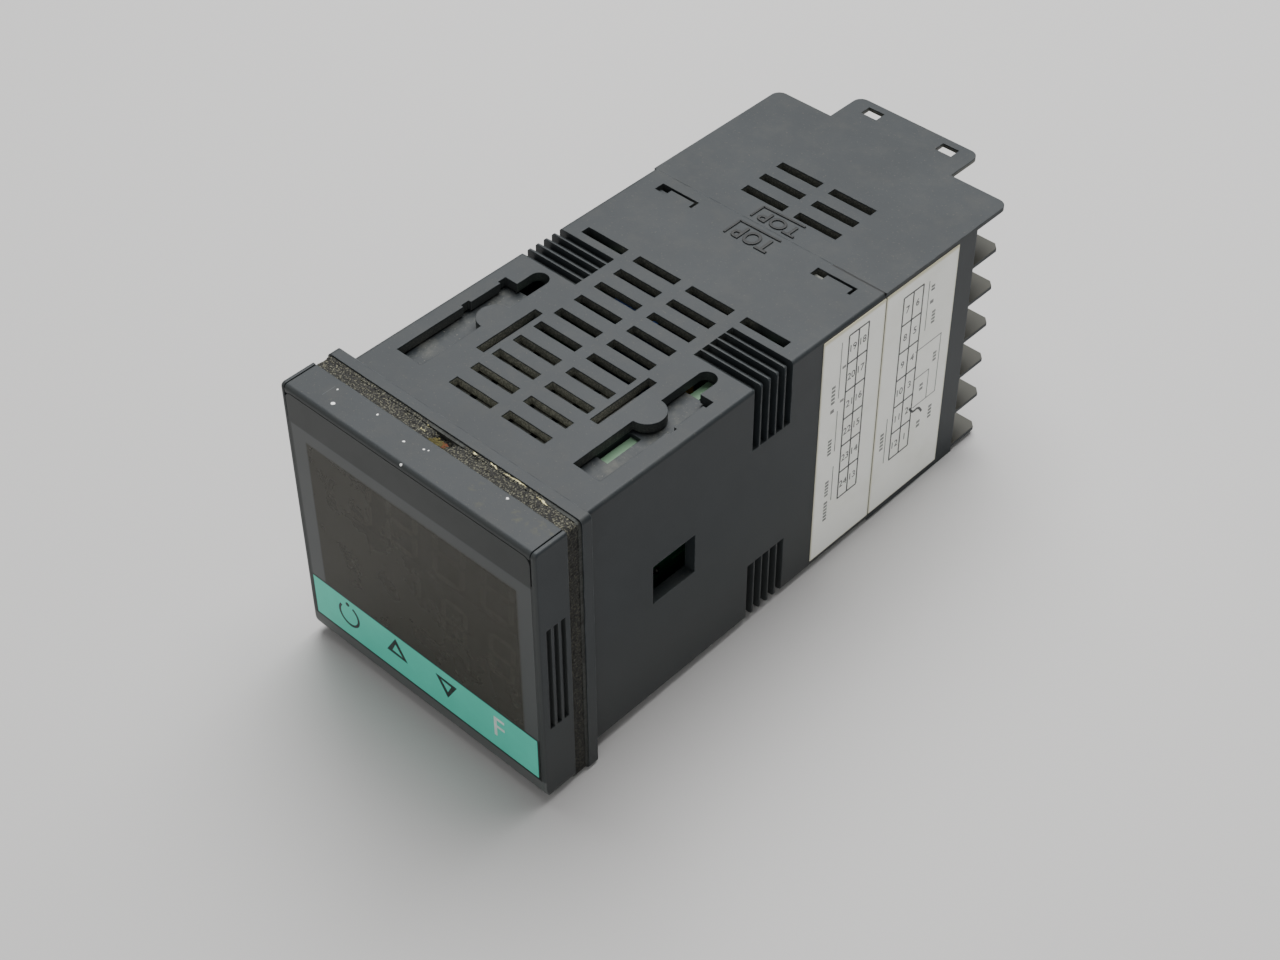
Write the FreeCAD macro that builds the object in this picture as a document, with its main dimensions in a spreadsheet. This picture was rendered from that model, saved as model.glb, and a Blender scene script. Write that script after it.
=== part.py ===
import FreeCAD, Part
import os
import re
import Sketcher

# A panel temperature controller with a 48 mm square front.
# A draw-out front unit (bezel, display, keys and two upright boards) slides into a vented case,
# and a plug-on rear housing carries the screw terminals.
# Frame: origin on the case axis in the plane of the panel seat, +Y to the rear, +Z up,
# +X to the right seen from the front. Millimetres.

doc = FreeCAD.newDocument("TemperatureController")
sheet = doc.addObject("Spreadsheet::Sheet", "Sizes")

# Driving dimensions
SIZES = {
    # Front: bezel, gasket and flange share the square
    "front_size": 48.0,
    "bezel_depth": 5.7,
    "bezel_edge_radius": 0.7,
    "bezel_foot_radius": 3.0,
    "bezel_lower_corner_radius": 2.0,
    "cheek_edge_radius": 0.4,
    "cheek_width": 0.7,
    "cheek_groove_width": 0.2,
    "cheek_groove_depth": 0.5,
    "cheek_groove_drop": 5.7,
    "bezel_front_wall": 2.0,
    "grip_length": 19.0,
    "grip_width": 0.85,
    "grip_depth": 0.8,
    "grip_pitch": 1.32,
    "grip_first_from_front": 1.8,
    "gasket_thickness": 2.7,
    "gasket_inset": 0.2,
    "gasket_width": 3.2,
    "gasket_corner_radius": 0.8,
    "flange_thickness": 1.7,
    "flange_corner_radius": 0.8,
    # Printed film, window and keys
    "film_top_margin": 1.0,
    "film_bottom_margin": 4.3,
    "film_corner_radius": 1.2,
    "film_thickness": 0.35,
    "film_recess": 0.3,
    "window_side_margin": 2.7,
    "window_top_margin": 6.0,
    "key_strip_height": 8.3,
    "filter_thickness": 1.2,
    "filter_lap": 0.5,
    "filter_ledge": 1.0,
    "key_end_margin": 7.9,
    "key_rise": 4.5,
    "key_radius": 2.3,
    "key_collar_radius": 3.0,
    "key_travel": 0.35,
    "key_hole_clearance": 0.2,
    # Case
    "flange_lip": 1.75,
    "case_side_wall": 1.9,
    "case_top_wall": 1.5,
    "case_length": 61.4,
    "case_edge_radius": 0.6,
    "vent_length": 8.0,
    "vent_width": 1.6,
    "vent_pitch": 4.0,
    "vent_column": 5.05,
    "vent_outer_from_side": 7.0,
    "vent_first": 7.3,
    "long_slot_offset": 10.8,
    "long_slot_width": 1.5,
    "long_slot_start": 14.0,
    "long_slot_length": 11.4,
    "keyhole_from_side": 3.0,
    "keyhole_width": 4.85,
    "keyhole_start": 6.4,
    "keyhole_end": 27.6,
    "keyhole_boss_radius": 2.75,
    "keyhole_boss_at": 20.4,
    "keyhole_channel_width": 3.0,
    "keyhole_channel_end": 32.0,
    "keyhole_notch": 0.5,
    "keyhole_notch_length": 1.5,
    "ratchet_start": 32.8,
    "ratchet_pitch": 1.65,
    "ratchet_tip": 0.25,
    "ratchet_depth": 1.3,
    "ratchet_reach": 11.0,
    "ratchet_backing": 0.85,
    "ratchet_backing_margin": 0.5,
    "side_window_start": 13.1,
    "side_window_length": 8.5,
    "side_window_height": 7.2,
    "snap_offset": 15.0,
    "snap_span": 7.2,
    "snap_hole_width": 2.1,
    "snap_hole_length": 1.8,
    "snap_slit": 0.5,
    "snap_from_seam": 2.9,
    # Rear housing
    "housing_side_length": 21.3,
    "housing_wall": 1.9,
    "top_plate_length": 28.8,
    "plate_thickness": 1.5,
    "overhang_thickness": 0.7,
    "plate_corner_radius": 1.6,
    "tab_width": 23.3,
    "tab_reach": 7.3,
    "tab_hole_width": 3.0,
    "tab_hole_length": 2.1,
    "tab_hole_offset": 7.2,
    "tab_hole_from_end": 2.4,
    "barrier_thickness": 0.6,
    "barrier_length": 27.95,
    "top_row_shortfall": 1.4,
    "barrier_corner_cut": 0.9,
    "terminal_wall_from_seam": 15.2,
    "terminal_wall_thickness": 2.2,
    "column_rib_thickness": 1.4,
    "column_rib_length": 4.4,
    "spigot_length": 5.0,
    "spigot_wall": 1.2,
    "spigot_clearance": 0.2,
    "housing_vent_from_seam": 5.5,
    # Terminals
    "clamp_width": 6.6,
    "clamp_depth": 2.6,
    "clamp_height": 4.4,
    "clamp_bend": 0.9,
    "screw_head_radius": 2.1,
    "screw_head_height": 1.4,
    "screw_radius": 1.2,
    "screw_length": 4.2,
    "screw_slot_width": 0.7,
    "screw_slot_depth": 0.7,
    # Draw-out unit
    "slide_clearance": 0.35,
    "carrier_wall": 1.2,
    "carrier_ring_back": 2.0,
    "carrier_board_gap": 0.3,
    "carrier_plate_back": 23.0,
    "carrier_wing_back": 28.2,
    "carrier_wing_radius": 0.6,
    "cover_lap": 0.8,
    "cover_notch_start": 10.8,
    "cover_notch_end": 17.2,
    "carrier_slot_width": 1.1,
    "carrier_slot_start": 6.0,
    "carrier_slot_end": 22.0,
    "carrier_slot_pitch": 4.55,
    "carrier_slot_spread": 11.5,
    "carrier_slot_shift": 2.6,
    "carrier_ledge": 1.2,
    "fit_gap": 0.1,
    "board_thickness": 1.6,
    "board_from_side": 7.05,
    "board_edge_gap": 2.65,
    "board_past_seam": 12.6,
    "socket_clearance": 0.25,
    "display_depth": 5.9,
    "display_side_gap": 2.2,
    "upper_display_height": 13.6,
    "display_gap": 0.6,
    "switch_size": 6.0,
    "switch_height": 3.4,
    "switch_button_radius": 1.7,
    "switch_button_height": 1.75,
    "header_width": 2.5,
    "header_height": 22.0,
    # Parts on the boards
    "transformer_thickness": 13.0,
    "transformer_length": 18.0,
    "transformer_height": 20.0,
    "transformer_start": 42.0,
    "core_thickness": 6.0,
    "core_overhang": 1.6,
    "relay_thickness": 10.2,
    "relay_length": 20.0,
    "relay_height": 12.4,
    "relay_start": 40.0,
    "relay_spread": 7.0,
    "capacitor_radius": 5.0,
    "capacitor_length": 12.5,
    "capacitor_at": 18.0,
    "capacitor_spread": 7.0,
    "chip_size": 14.0,
    "chip_thickness": 2.0,
    "chip_start": 9.0,
    "socket_thickness": 5.0,
    "socket_end_gap": 2.6,
    "socket_grip": 5.0,
    # Paper labels on the right-hand side
    "label_thickness": 0.12,
    "label_front_length": 13.8,
    "label_rear_length": 16.9,
    "label_top_margin": 0.8,
    "label_bottom_margin": 1.3,
    "label_gap": 0.15,
}

FIRST_ROW = 2
sheet.set("A1", "size")
sheet.set("B1", "millimetres")
for row, (alias, value) in enumerate(SIZES.items(), FIRST_ROW):
    sheet.set(f"A{row}", alias)
    sheet.set(f"B{row}", str(value))
    sheet.setAlias(f"B{row}", alias)
doc.recompute()

ALIAS = re.compile(r"[a-z]+(?:_[a-z]+)+")
CUT_MARGIN = 1.0


def formula(text):
    """The text with each size's name pointing at its cell."""
    return ALIAS.sub(lambda found: "Sizes." + found.group(), str(text))


def bind(thing, prop, text):
    thing.setExpression(prop, formula(text))


def place(thing, corner):
    for axis, text in zip("xyz", corner):
        bind(thing, f"Placement.Base.{axis}", text)


# Shapes that the pieces share


def box(label, low, high):
    """A block between two corners, each a formula in the sheet's sizes."""
    block = doc.addObject("Part::Box", label)
    for prop, start, end in zip(("Length", "Width", "Height"), low, high):
        bind(block, prop, f"({end}) - ({start})")
    place(block, low)
    return block


TURNS = {
    "x": FreeCAD.Rotation(FreeCAD.Vector(0, 1, 0), 90),
    "y": FreeCAD.Rotation(FreeCAD.Vector(1, 0, 0), -90),
    "z": FreeCAD.Rotation(),
}


def cylinder(label, axis, base, radius, height):
    """A round bar that starts at base and runs along the positive axis."""
    bar = doc.addObject("Part::Cylinder", label)
    bar.Placement.Rotation = TURNS[axis]
    bind(bar, "Radius", radius)
    bind(bar, "Height", height)
    place(bar, base)
    return bar


def fuse(label, pieces):
    joined = doc.addObject("Part::MultiFuse", label)
    joined.Shapes = pieces
    joined.Refine = True
    return joined


def group(label, pieces):
    """Separate solids kept side by side under one name."""
    gathered = doc.addObject("Part::Compound", label)
    gathered.Links = pieces
    return gathered


def cut(label, base, tools):
    """The base less the tools, which may not overlap each other."""
    left = doc.addObject("Part::Cut", label)
    left.Base = base
    left.Tool = tools[0] if len(tools) == 1 else group(label + "_tools", tools)
    left.Refine = True
    return left


MIRROR_NORMAL = {"x": FreeCAD.Vector(1, 0, 0), "z": FreeCAD.Vector(0, 0, 1)}


def mirror(label, source, axis):
    image = doc.addObject("Part::Mirroring", label)
    image.Source = source
    image.Normal = MIRROR_NORMAL[axis]
    return image


def both_sides(label, piece, axis="x"):
    return [piece, mirror(label + "_mirrored", piece, axis)]


def new_body(label):
    return doc.addObject("PartDesign::Body", label)


PLANE_OFFSET_SIGN = {"XZ_Plane": "-", "XY_Plane": "", "YZ_Plane": ""}


def sketch_in(body, label, plane, offset):
    """A sketch on one of the body's own planes, moved along its world axis by offset."""
    sketch = body.newObject("Sketcher::SketchObject", label)
    support = [f for f in body.Origin.OriginFeatures if f.Role == plane][0]
    sketch.AttachmentSupport = [(support, "")]
    sketch.MapMode = "FlatFace"
    bind(sketch, "AttachmentOffset.Base.z", f"{PLANE_OFFSET_SIGN[plane]}({offset})")
    return sketch


def polygon(sketch, corners):
    """Straight sides through the corners, each corner bound to its two formulas."""
    first = sketch.GeometryCount
    count = len(corners)
    guess = [[doc_value(text) for text in corner] for corner in corners]
    for i in range(count):
        start = FreeCAD.Vector(*guess[i], 0)
        end = FreeCAD.Vector(*guess[(i + 1) % count], 0)
        sketch.addGeometry(Part.LineSegment(start, end), False)
    for i in range(count):
        previous = first + (i - 1) % count
        sketch.addConstraint(Sketcher.Constraint("Coincident", previous, 2, first + i, 1))
    for i, corner in enumerate(corners):
        for kind, text, value in zip(("DistanceX", "DistanceY"), corner, guess[i]):
            index = sketch.addConstraint(Sketcher.Constraint(kind, -1, 1, first + i, 1, value))
            bind(sketch, f"Constraints[{index}]", text)


def doc_value(text):
    """A formula's value now, for the first guess of a sketch."""
    return float(sheet.evalExpression(ALIAS.sub(lambda found: found.group(), str(text))))


def rectangle(sketch, low, high):
    polygon(sketch, [(low[0], low[1]), (high[0], low[1]), (high[0], high[1]), (low[0], high[1])])


def pad(body, label, sketch, length, to_rear=False):
    """Material from a sketch: towards the front or down by default, to_rear turns it round."""
    feature = body.newObject("PartDesign::Pad", label)
    feature.Profile = sketch
    bind(feature, "Length", length)
    feature.Reversed = to_rear
    sketch.Visibility = False
    doc.recompute()
    return feature


def pocket(body, label, sketch, length, to_rear=True):
    feature = body.newObject("PartDesign::Pocket", label)
    feature.Profile = sketch
    bind(feature, "Length", length)
    feature.Reversed = not to_rear
    before = body.Shape.Volume
    doc.recompute()
    if not body.Shape.Volume < before:
        raise RuntimeError(f"{label} cuts nothing")
    return feature


def round_edges(body, label, radius, wanted):
    """A fillet on the tip's edges that the test picks."""
    doc.recompute()
    base = body.Tip
    names = [f"Edge{i}" for i, edge in enumerate(base.Shape.Edges, 1) if wanted(edge)]
    if not names:
        raise RuntimeError(f"{label} found no edge")
    feature = body.newObject("PartDesign::Fillet", label)
    feature.Base = (base, names)
    bind(feature, "Radius", radius)
    doc.recompute()
    return feature


NEAR = 1e-4


def runs_along(edge, axis):
    """Whether a straight edge runs along x, y or z."""
    if edge.Curve.TypeId != "Part::GeomLine":
        return False
    direction = edge.Curve.Direction
    return abs(abs(getattr(direction, axis)) - 1) < NEAR


def lies_at(edge, axis, value):
    """Whether the whole edge lies in the plane where the axis has that value."""
    box_of_edge = edge.BoundBox
    low = getattr(box_of_edge, axis.upper() + "Min")
    high = getattr(box_of_edge, axis.upper() + "Max")
    return abs(low - value) < NEAR and abs(high - value) < NEAR


PARTS = {}


def finish(label, piece):
    piece.Label = label
    PARTS[label] = piece


# Places worked out from the driving dimensions
HALF_FRONT = "front_size / 2"
HALF_CASE = "(front_size / 2 - flange_lip)"
CAVITY_X = f"({HALF_CASE} - case_side_wall)"
CAVITY_Z = f"({HALF_CASE} - case_top_wall)"
FILM_HALF = "(front_size / 2 - cheek_width - cheek_groove_width)"
FILM_TOP = "(front_size / 2 - film_top_margin)"
FILM_BOTTOM = "(film_bottom_margin - front_size / 2)"
WINDOW_HALF = f"({FILM_HALF} - window_side_margin)"
WINDOW_TOP = f"({FILM_TOP} - window_top_margin)"
WINDOW_BOTTOM = f"({FILM_BOTTOM} + key_strip_height)"
KEY_LINE = f"({FILM_BOTTOM} + key_rise)"
KEY_PITCH = f"((2 * {FILM_HALF} - 2 * key_end_margin) / 3)"
FLANGE_FRONT = "-flange_thickness"
BEZEL_BACK = "(-flange_thickness - gasket_thickness)"
BEZEL_FRONT = "(-flange_thickness - gasket_thickness - bezel_depth)"
BEZEL_WALL_BACK = f"({BEZEL_FRONT} + bezel_front_wall)"
FILM_SEAT = f"({BEZEL_FRONT} + film_recess)"
FILTER_BACK = f"({FILM_SEAT} + filter_thickness)"
SEAM = "case_length"
SIDE_END = "(case_length + housing_side_length)"
TOP_END = "(case_length + top_plate_length)"
TAB_END = "(case_length + top_plate_length + tab_reach)"
BARRIER_END = "(case_length + barrier_length)"
WALL_FRONT = "(case_length + terminal_wall_from_seam)"
WALL_BACK = "(case_length + terminal_wall_from_seam + terminal_wall_thickness)"
CARRIER_X = f"({CAVITY_X} - slide_clearance)"
CARRIER_Z = f"({CAVITY_Z} - slide_clearance)"
CARRIER_INNER_X = f"({CARRIER_X} - carrier_wall)"
CARRIER_INNER_Z = f"({CARRIER_Z} - carrier_wall)"
DISPLAY_FRONT = f"({BEZEL_WALL_BACK} + display_gap)"
BOARD_FRONT = f"({DISPLAY_FRONT} + display_depth)"
BOARD_BACK = f"({BOARD_FRONT} + board_thickness)"
LEDGE_BACK = f"({BOARD_BACK} + carrier_ledge)"
BOARD_MIDDLE = f"({HALF_CASE} - board_from_side)"
BOARD_IN = f"({BOARD_MIDDLE} - board_thickness / 2)"
BOARD_OUT = f"({BOARD_MIDDLE} + board_thickness / 2)"
BOARD_TOP = f"({HALF_CASE} - board_edge_gap)"
BOARD_END = "(case_length + board_past_seam)"


# Case: a moulded square tube with a flange at its mouth
case_body = new_body("case_moulding")
flange_sketch = sketch_in(case_body, "flange_outline", "XZ_Plane", "0")
rectangle(flange_sketch, (f"-({HALF_FRONT})", f"-({HALF_FRONT})"), (HALF_FRONT, HALF_FRONT))
pad(case_body, "flange", flange_sketch, "flange_thickness")
round_edges(case_body, "flange_corners", "flange_corner_radius", lambda e: runs_along(e, "y"))
tube_sketch = sketch_in(case_body, "tube_outline", "XZ_Plane", "0")
rectangle(tube_sketch, (f"-({HALF_CASE})", f"-({HALF_CASE})"), (HALF_CASE, HALF_CASE))
pad(case_body, "tube", tube_sketch, "case_length", to_rear=True)
half_case = doc_value(HALF_CASE)
round_edges(
    case_body,
    "tube_corners",
    "case_edge_radius",
    lambda e: runs_along(e, "y") and e.BoundBox.YMax > NEAR and abs(abs(e.BoundBox.XMin) - half_case) < NEAR,
)
cavity_sketch = sketch_in(case_body, "cavity_outline", "XZ_Plane", FLANGE_FRONT)
rectangle(cavity_sketch, (f"-{CAVITY_X}", f"-{CAVITY_Z}"), (CAVITY_X, CAVITY_Z))
pocket(case_body, "cavity", cavity_sketch, "flange_thickness + case_length")

ROOF = f"({HALF_CASE} + {CUT_MARGIN})"
ROOF_INSIDE = f"({CAVITY_Z} - {CUT_MARGIN})"


def vent(label, column, row_at):
    """One cooling slot through the top wall."""
    low = (f"{column} - vent_length / 2", f"{row_at} - vent_width / 2", ROOF_INSIDE)
    high = (f"{column} + vent_length / 2", f"{row_at} + vent_width / 2", ROOF)
    return box(label, low, high)


VENT_ROWS = 10
top_vents = []
for row in range(VENT_ROWS):
    row_at = f"vent_first + {row} * vent_pitch"
    for side in (-1, 1):
        top_vents.append(vent(f"vent_{row}_{side + 1}", f"{side} * vent_column", row_at))
last_row = f"vent_first + {VENT_ROWS - 1} * vent_pitch"
OUTER_VENT = f"({HALF_CASE} - vent_outer_from_side)"
outer_vents = [vent(f"outer_vent_{side + 1}", f"{side} * {OUTER_VENT}", last_row) for side in (-1, 1)]
vents = group("case_vents", top_vents)
bottom_vents = mirror("bottom_vents", vents, "z")

long_slot = box(
    "long_slot",
    ("long_slot_offset - long_slot_width / 2", "long_slot_start", ROOF_INSIDE),
    ("long_slot_offset + long_slot_width / 2", "long_slot_start + long_slot_length", ROOF),
)

# Keyholes: an opening with a half-round boss on its inner side and a round-ended channel to the rear
KEYHOLE_OUTER = f"({HALF_CASE} - keyhole_from_side)"
KEYHOLE_INNER = f"({KEYHOLE_OUTER} - keyhole_width)"
CHANNEL_OUT = f"({KEYHOLE_INNER} + keyhole_channel_width)"
CHANNEL_MIDDLE = f"({KEYHOLE_INNER} + keyhole_channel_width / 2)"
CHANNEL_ROUND = "(keyhole_channel_end - keyhole_channel_width / 2)"
ROOF_DEPTH = f"(case_top_wall + {2 * CUT_MARGIN})"
keyhole_opening = box(
    "keyhole_opening",
    (KEYHOLE_INNER, "keyhole_start", ROOF_INSIDE),
    (KEYHOLE_OUTER, "keyhole_end", ROOF),
)
channel = box(
    "keyhole_channel",
    (KEYHOLE_INNER, "keyhole_boss_at", ROOF_INSIDE),
    (CHANNEL_OUT, CHANNEL_ROUND, ROOF),
)
channel_end = cylinder(
    "keyhole_round",
    "z",
    (CHANNEL_MIDDLE, CHANNEL_ROUND, ROOF_INSIDE),
    "keyhole_channel_width / 2",
    ROOF_DEPTH,
)


def notch(label, start):
    """A small bite out of the keyhole's outer side."""
    return box(
        label,
        (f"{KEYHOLE_OUTER} - keyhole_notch", start, ROOF_INSIDE),
        (f"{KEYHOLE_OUTER} + keyhole_notch", f"{start} + keyhole_notch_length", ROOF),
    )


notches = [
    notch("rear_notch", "keyhole_end - keyhole_notch_length"),
    notch("front_notch", "keyhole_boss_at - keyhole_notch_length"),
]
boss = cylinder(
    "keyhole_boss",
    "z",
    (KEYHOLE_INNER, "keyhole_boss_at", ROOF_INSIDE),
    "keyhole_boss_radius",
    ROOF_DEPTH,
)
keyhole_space = fuse("keyhole_space", [keyhole_opening, channel, channel_end] + notches)
keyhole = cut("keyhole", keyhole_space, [boss])

# Ratchet bands: saw teeth across each corner, upright faces to the front, for the clamping collar
RATCHET_GROOVES = 5


def saw_teeth(label, plane):
    """The grooves of one face: each ramps down to the rear and ends at the next tooth's upright face."""
    carrier = new_body(label)
    carrier.AllowCompound = True
    teeth = sketch_in(carrier, label + "_profile", plane, f"{HALF_CASE} - ratchet_reach")
    for i in range(RATCHET_GROOVES):
        ramp_start = f"(ratchet_start + {i} * ratchet_pitch + ratchet_tip)"
        ramp_end = f"(ratchet_start + {i + 1} * ratchet_pitch)"
        ground = f"({HALF_CASE})"
        root = f"({HALF_CASE} - ratchet_depth)"
        corners = [(ramp_start, ROOF), (ramp_start, ground), (ramp_end, root), (ramp_end, ROOF)]
        if plane == "XY_Plane":
            corners = [(across, along) for along, across in corners]
        polygon(teeth, corners)
    pad(carrier, label + "_pad", teeth, f"ratchet_reach + {CUT_MARGIN}")
    return carrier


roof_teeth = saw_teeth("roof_teeth", "YZ_Plane")
side_teeth = saw_teeth("side_teeth", "XY_Plane")
right_roof_corner = fuse("ratchet_corner", [roof_teeth, side_teeth])
top_corners = group("top_ratchets", both_sides("ratchet_corner", right_roof_corner))
bottom_corners = mirror("bottom_ratchets", top_corners, "z")

side_window = box(
    "side_window",
    (f"{CAVITY_X} - {CUT_MARGIN}", "side_window_start", "-side_window_height / 2"),
    (f"{HALF_CASE} + {CUT_MARGIN}", "side_window_start + side_window_length", "side_window_height / 2"),
)

# Snap slots: a square hole, a slit and a short leg that free a tongue of the top wall
SNAP_BACK = "(case_length - snap_from_seam + snap_hole_length / 2)"
SNAP_FRONT = "(case_length - snap_from_seam - snap_hole_length / 2)"


def snap_slot(label, centre):
    hole = box(
        label + "_hole",
        (f"{centre} - snap_span / 2", SNAP_FRONT, ROOF_INSIDE),
        (f"{centre} - snap_span / 2 + snap_hole_width", SNAP_BACK, ROOF),
    )
    long_leg = box(
        label + "_slit",
        (f"{centre} - snap_span / 2 + snap_hole_width / 2", f"{SNAP_BACK} - snap_slit", ROOF_INSIDE),
        (f"{centre} + snap_span / 2", SNAP_BACK, ROOF),
    )
    short_leg = box(
        label + "_leg",
        (f"{centre} + snap_span / 2 - snap_slit", SNAP_FRONT, ROOF_INSIDE),
        (f"{centre} + snap_span / 2", SNAP_BACK, ROOF),
    )
    return fuse(label, [hole, long_leg, short_leg])


snap_slots = [snap_slot("snap_left", "-snap_offset"), snap_slot("snap_right", "snap_offset")]

# Backing: the corners are thicker inside behind the ratchet bands
BACKING_START = "ratchet_start - ratchet_backing_margin"
BACKING_END = f"ratchet_start + {RATCHET_GROOVES} * ratchet_pitch + ratchet_backing_margin"
BACKING_REACH = f"({HALF_CASE} - ratchet_reach - ratchet_backing_margin)"
backing = [
    box(
        "roof_backing",
        (BACKING_REACH, BACKING_START, f"{CAVITY_Z} - ratchet_backing"),
        (f"{CAVITY_X} + fit_gap", BACKING_END, f"{CAVITY_Z} + fit_gap"),
    ),
    box(
        "side_backing",
        (f"{CAVITY_X} - ratchet_backing", BACKING_START, BACKING_REACH),
        (f"{CAVITY_X} + fit_gap", BACKING_END, f"{CAVITY_Z} + fit_gap"),
    ),
]
inside_corner = fuse("inside_corner", backing)
inside_top = group("inside_top", both_sides("inside_corner", inside_corner))
inside_bottom = mirror("inside_bottom", inside_top, "z")

case_openings = (
    [vents, bottom_vents]
    + outer_vents
    + both_sides("long_slot", long_slot)
    + both_sides("keyhole", keyhole)
    + [top_corners, bottom_corners]
    + both_sides("side_window", side_window)
    + snap_slots
)
case_block = fuse("case_block", [case_body, inside_top, inside_bottom])
finish("case_shell", cut("case_shell", case_block, case_openings))


# Rear housing: a short tube that plugs into the case, closed by the terminal wall, with barriers behind it
HOUSING_INNER_X = f"({HALF_CASE} - housing_wall)"
HOUSING_INNER_Z = f"({HALF_CASE} - plate_thickness)"
housing_tube = cut(
    "housing_tube",
    box("housing_outer", (f"-{HALF_CASE}", SEAM, f"-{HALF_CASE}"), (HALF_CASE, SIDE_END, HALF_CASE)),
    [
        box(
            "housing_inner",
            (f"-{HOUSING_INNER_X}", f"{SEAM} - {CUT_MARGIN}", f"-{HOUSING_INNER_Z}"),
            (HOUSING_INNER_X, f"{SIDE_END} + {CUT_MARGIN}", HOUSING_INNER_Z),
        )
    ],
)
terminal_wall = box(
    "terminal_wall",
    (f"-({HALF_CASE} - housing_wall / 2)", WALL_FRONT, f"-({HALF_CASE} - plate_thickness / 2)"),
    (f"{HALF_CASE} - housing_wall / 2", WALL_BACK, f"{HALF_CASE} - plate_thickness / 2"),
)
SPIGOT_X = f"({CAVITY_X} - spigot_clearance)"
SPIGOT_Z = f"({CAVITY_Z} - spigot_clearance)"
SPIGOT_INNER_X = f"({SPIGOT_X} - spigot_wall)"
SPIGOT_INNER_Z = f"({SPIGOT_Z} - spigot_wall)"
SPIGOT_FRONT = f"({SEAM} - spigot_length)"
COLLAR_BACK = f"({SEAM} + housing_wall)"
spigot_ring = fuse(
    "spigot_block",
    [
        box(
            "spigot_outer",
            (f"-{SPIGOT_X}", SPIGOT_FRONT, f"-{SPIGOT_Z}"),
            (SPIGOT_X, COLLAR_BACK, SPIGOT_Z),
        ),
        box(
            "spigot_collar",
            (f"-({HALF_CASE} - housing_wall / 2)", SEAM, f"-({HALF_CASE} - plate_thickness / 2)"),
            (f"{HALF_CASE} - housing_wall / 2", COLLAR_BACK, f"{HALF_CASE} - plate_thickness / 2"),
        ),
    ],
)
spigot_mouth = box(
    "spigot_mouth",
    (f"-{SPIGOT_INNER_X}", f"{SPIGOT_FRONT} - {CUT_MARGIN}", f"-{SPIGOT_INNER_Z}"),
    (SPIGOT_INNER_X, f"{COLLAR_BACK} + {CUT_MARGIN}", SPIGOT_INNER_Z),
)
BOARD_WAY_TOP = f"({BOARD_TOP} + slide_clearance)"
board_way = box(
    "board_way",
    (f"{BOARD_IN} - slide_clearance", f"{SPIGOT_FRONT} - {CUT_MARGIN}", f"-{BOARD_WAY_TOP}"),
    (f"{BOARD_OUT} + slide_clearance", f"{COLLAR_BACK} + {CUT_MARGIN}", BOARD_WAY_TOP),
)
spigot_space = fuse("spigot_space", [spigot_mouth] + both_sides("board_way", board_way))
spigot = cut("spigot", spigot_ring, [spigot_space])


def snap_boss(label, centre):
    """The nub on the spigot that sits in a snap slot's hole."""
    left = f"{centre} - snap_span / 2 + fit_gap"
    return box(
        label,
        (left, f"{SNAP_FRONT} + fit_gap", f"{SPIGOT_Z} - spigot_wall / 4"),
        (
            f"{centre} - snap_span / 2 + snap_hole_width - fit_gap",
            f"{SNAP_BACK} - snap_slit - fit_gap",
            f"{CAVITY_Z} + case_top_wall / 2",
        ),
    )


def plate(label, top, thickness, half_width, start, end, radius):
    """A flat plate with rounded rear corners."""
    body = new_body(label)
    outline = sketch_in(body, label + "_outline", "XY_Plane", top)
    rectangle(outline, (f"-({half_width})", start), (half_width, end))
    pad(body, label + "_pad", outline, thickness, to_rear=True)
    rear = body.Shape.BoundBox.YMax
    round_edges(body, label + "_corners", radius, lambda e: runs_along(e, "z") and lies_at(e, "y", rear))
    return body


def barrier_plate(label, top, thickness, start):
    """A flat plate to the ends of the barriers, with its rear corners cut off."""
    body = new_body(label)
    outline = sketch_in(body, label + "_outline", "XY_Plane", top)
    shoulder = f"({HALF_CASE} - barrier_corner_cut)"
    corners = [
        (f"-{HALF_CASE}", start),
        (HALF_CASE, start),
        (HALF_CASE, f"{BARRIER_END} - barrier_corner_cut"),
        (shoulder, BARRIER_END),
        (f"-{shoulder}", BARRIER_END),
        (f"-{HALF_CASE}", f"{BARRIER_END} - barrier_corner_cut"),
    ]
    polygon(outline, corners)
    pad(body, label + "_pad", outline, thickness, to_rear=True)
    return body


OVERHANG = (HALF_CASE, "overhang_thickness")
top_plate = plate("top_plate", *OVERHANG, HALF_CASE, SEAM, TOP_END, "plate_corner_radius")
tab = plate("tab", *OVERHANG, "tab_width / 2", WALL_BACK, TAB_END, "plate_corner_radius")
ROWS = 6
ROW_PITCH = f"((2 * {HALF_CASE} - 2 * plate_thickness + top_row_shortfall) / {ROWS})"
FIRST_BARRIER = f"({HALF_CASE} - plate_thickness - {ROW_PITCH} + top_row_shortfall)"
barriers = []
for k in range(ROWS):
    top = f"{FIRST_BARRIER} - {k} * {ROW_PITCH}"
    barriers.append(barrier_plate(f"barrier_{k}", top, "barrier_thickness", WALL_FRONT))
CELL_WIDTH = f"((2 * {HALF_CASE} - 2 * housing_wall - 3 * column_rib_thickness) / 4)"
COLUMN_PITCH = f"({CELL_WIDTH} + column_rib_thickness)"
ribs = []
for k in (-1, 0, 1):
    middle = f"{k} * {COLUMN_PITCH}"
    ribs.append(
        box(
            f"column_rib_{k + 1}",
            (f"{middle} - column_rib_thickness / 2", WALL_FRONT, f"-({HALF_CASE} - plate_thickness / 2)"),
            (
                f"{middle} + column_rib_thickness / 2",
                f"{WALL_BACK} + column_rib_length",
                f"{HALF_CASE} - plate_thickness / 2",
            ),
        )
    )
housing_block = fuse(
    "housing_block",
    [housing_tube, terminal_wall, spigot, top_plate, tab]
    + [snap_boss("boss_left", "-snap_offset"), snap_boss("boss_right", "snap_offset")]
    + barriers
    + ribs,
)
HOUSING_VENT_ROWS = 3
housing_vents = []
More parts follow.
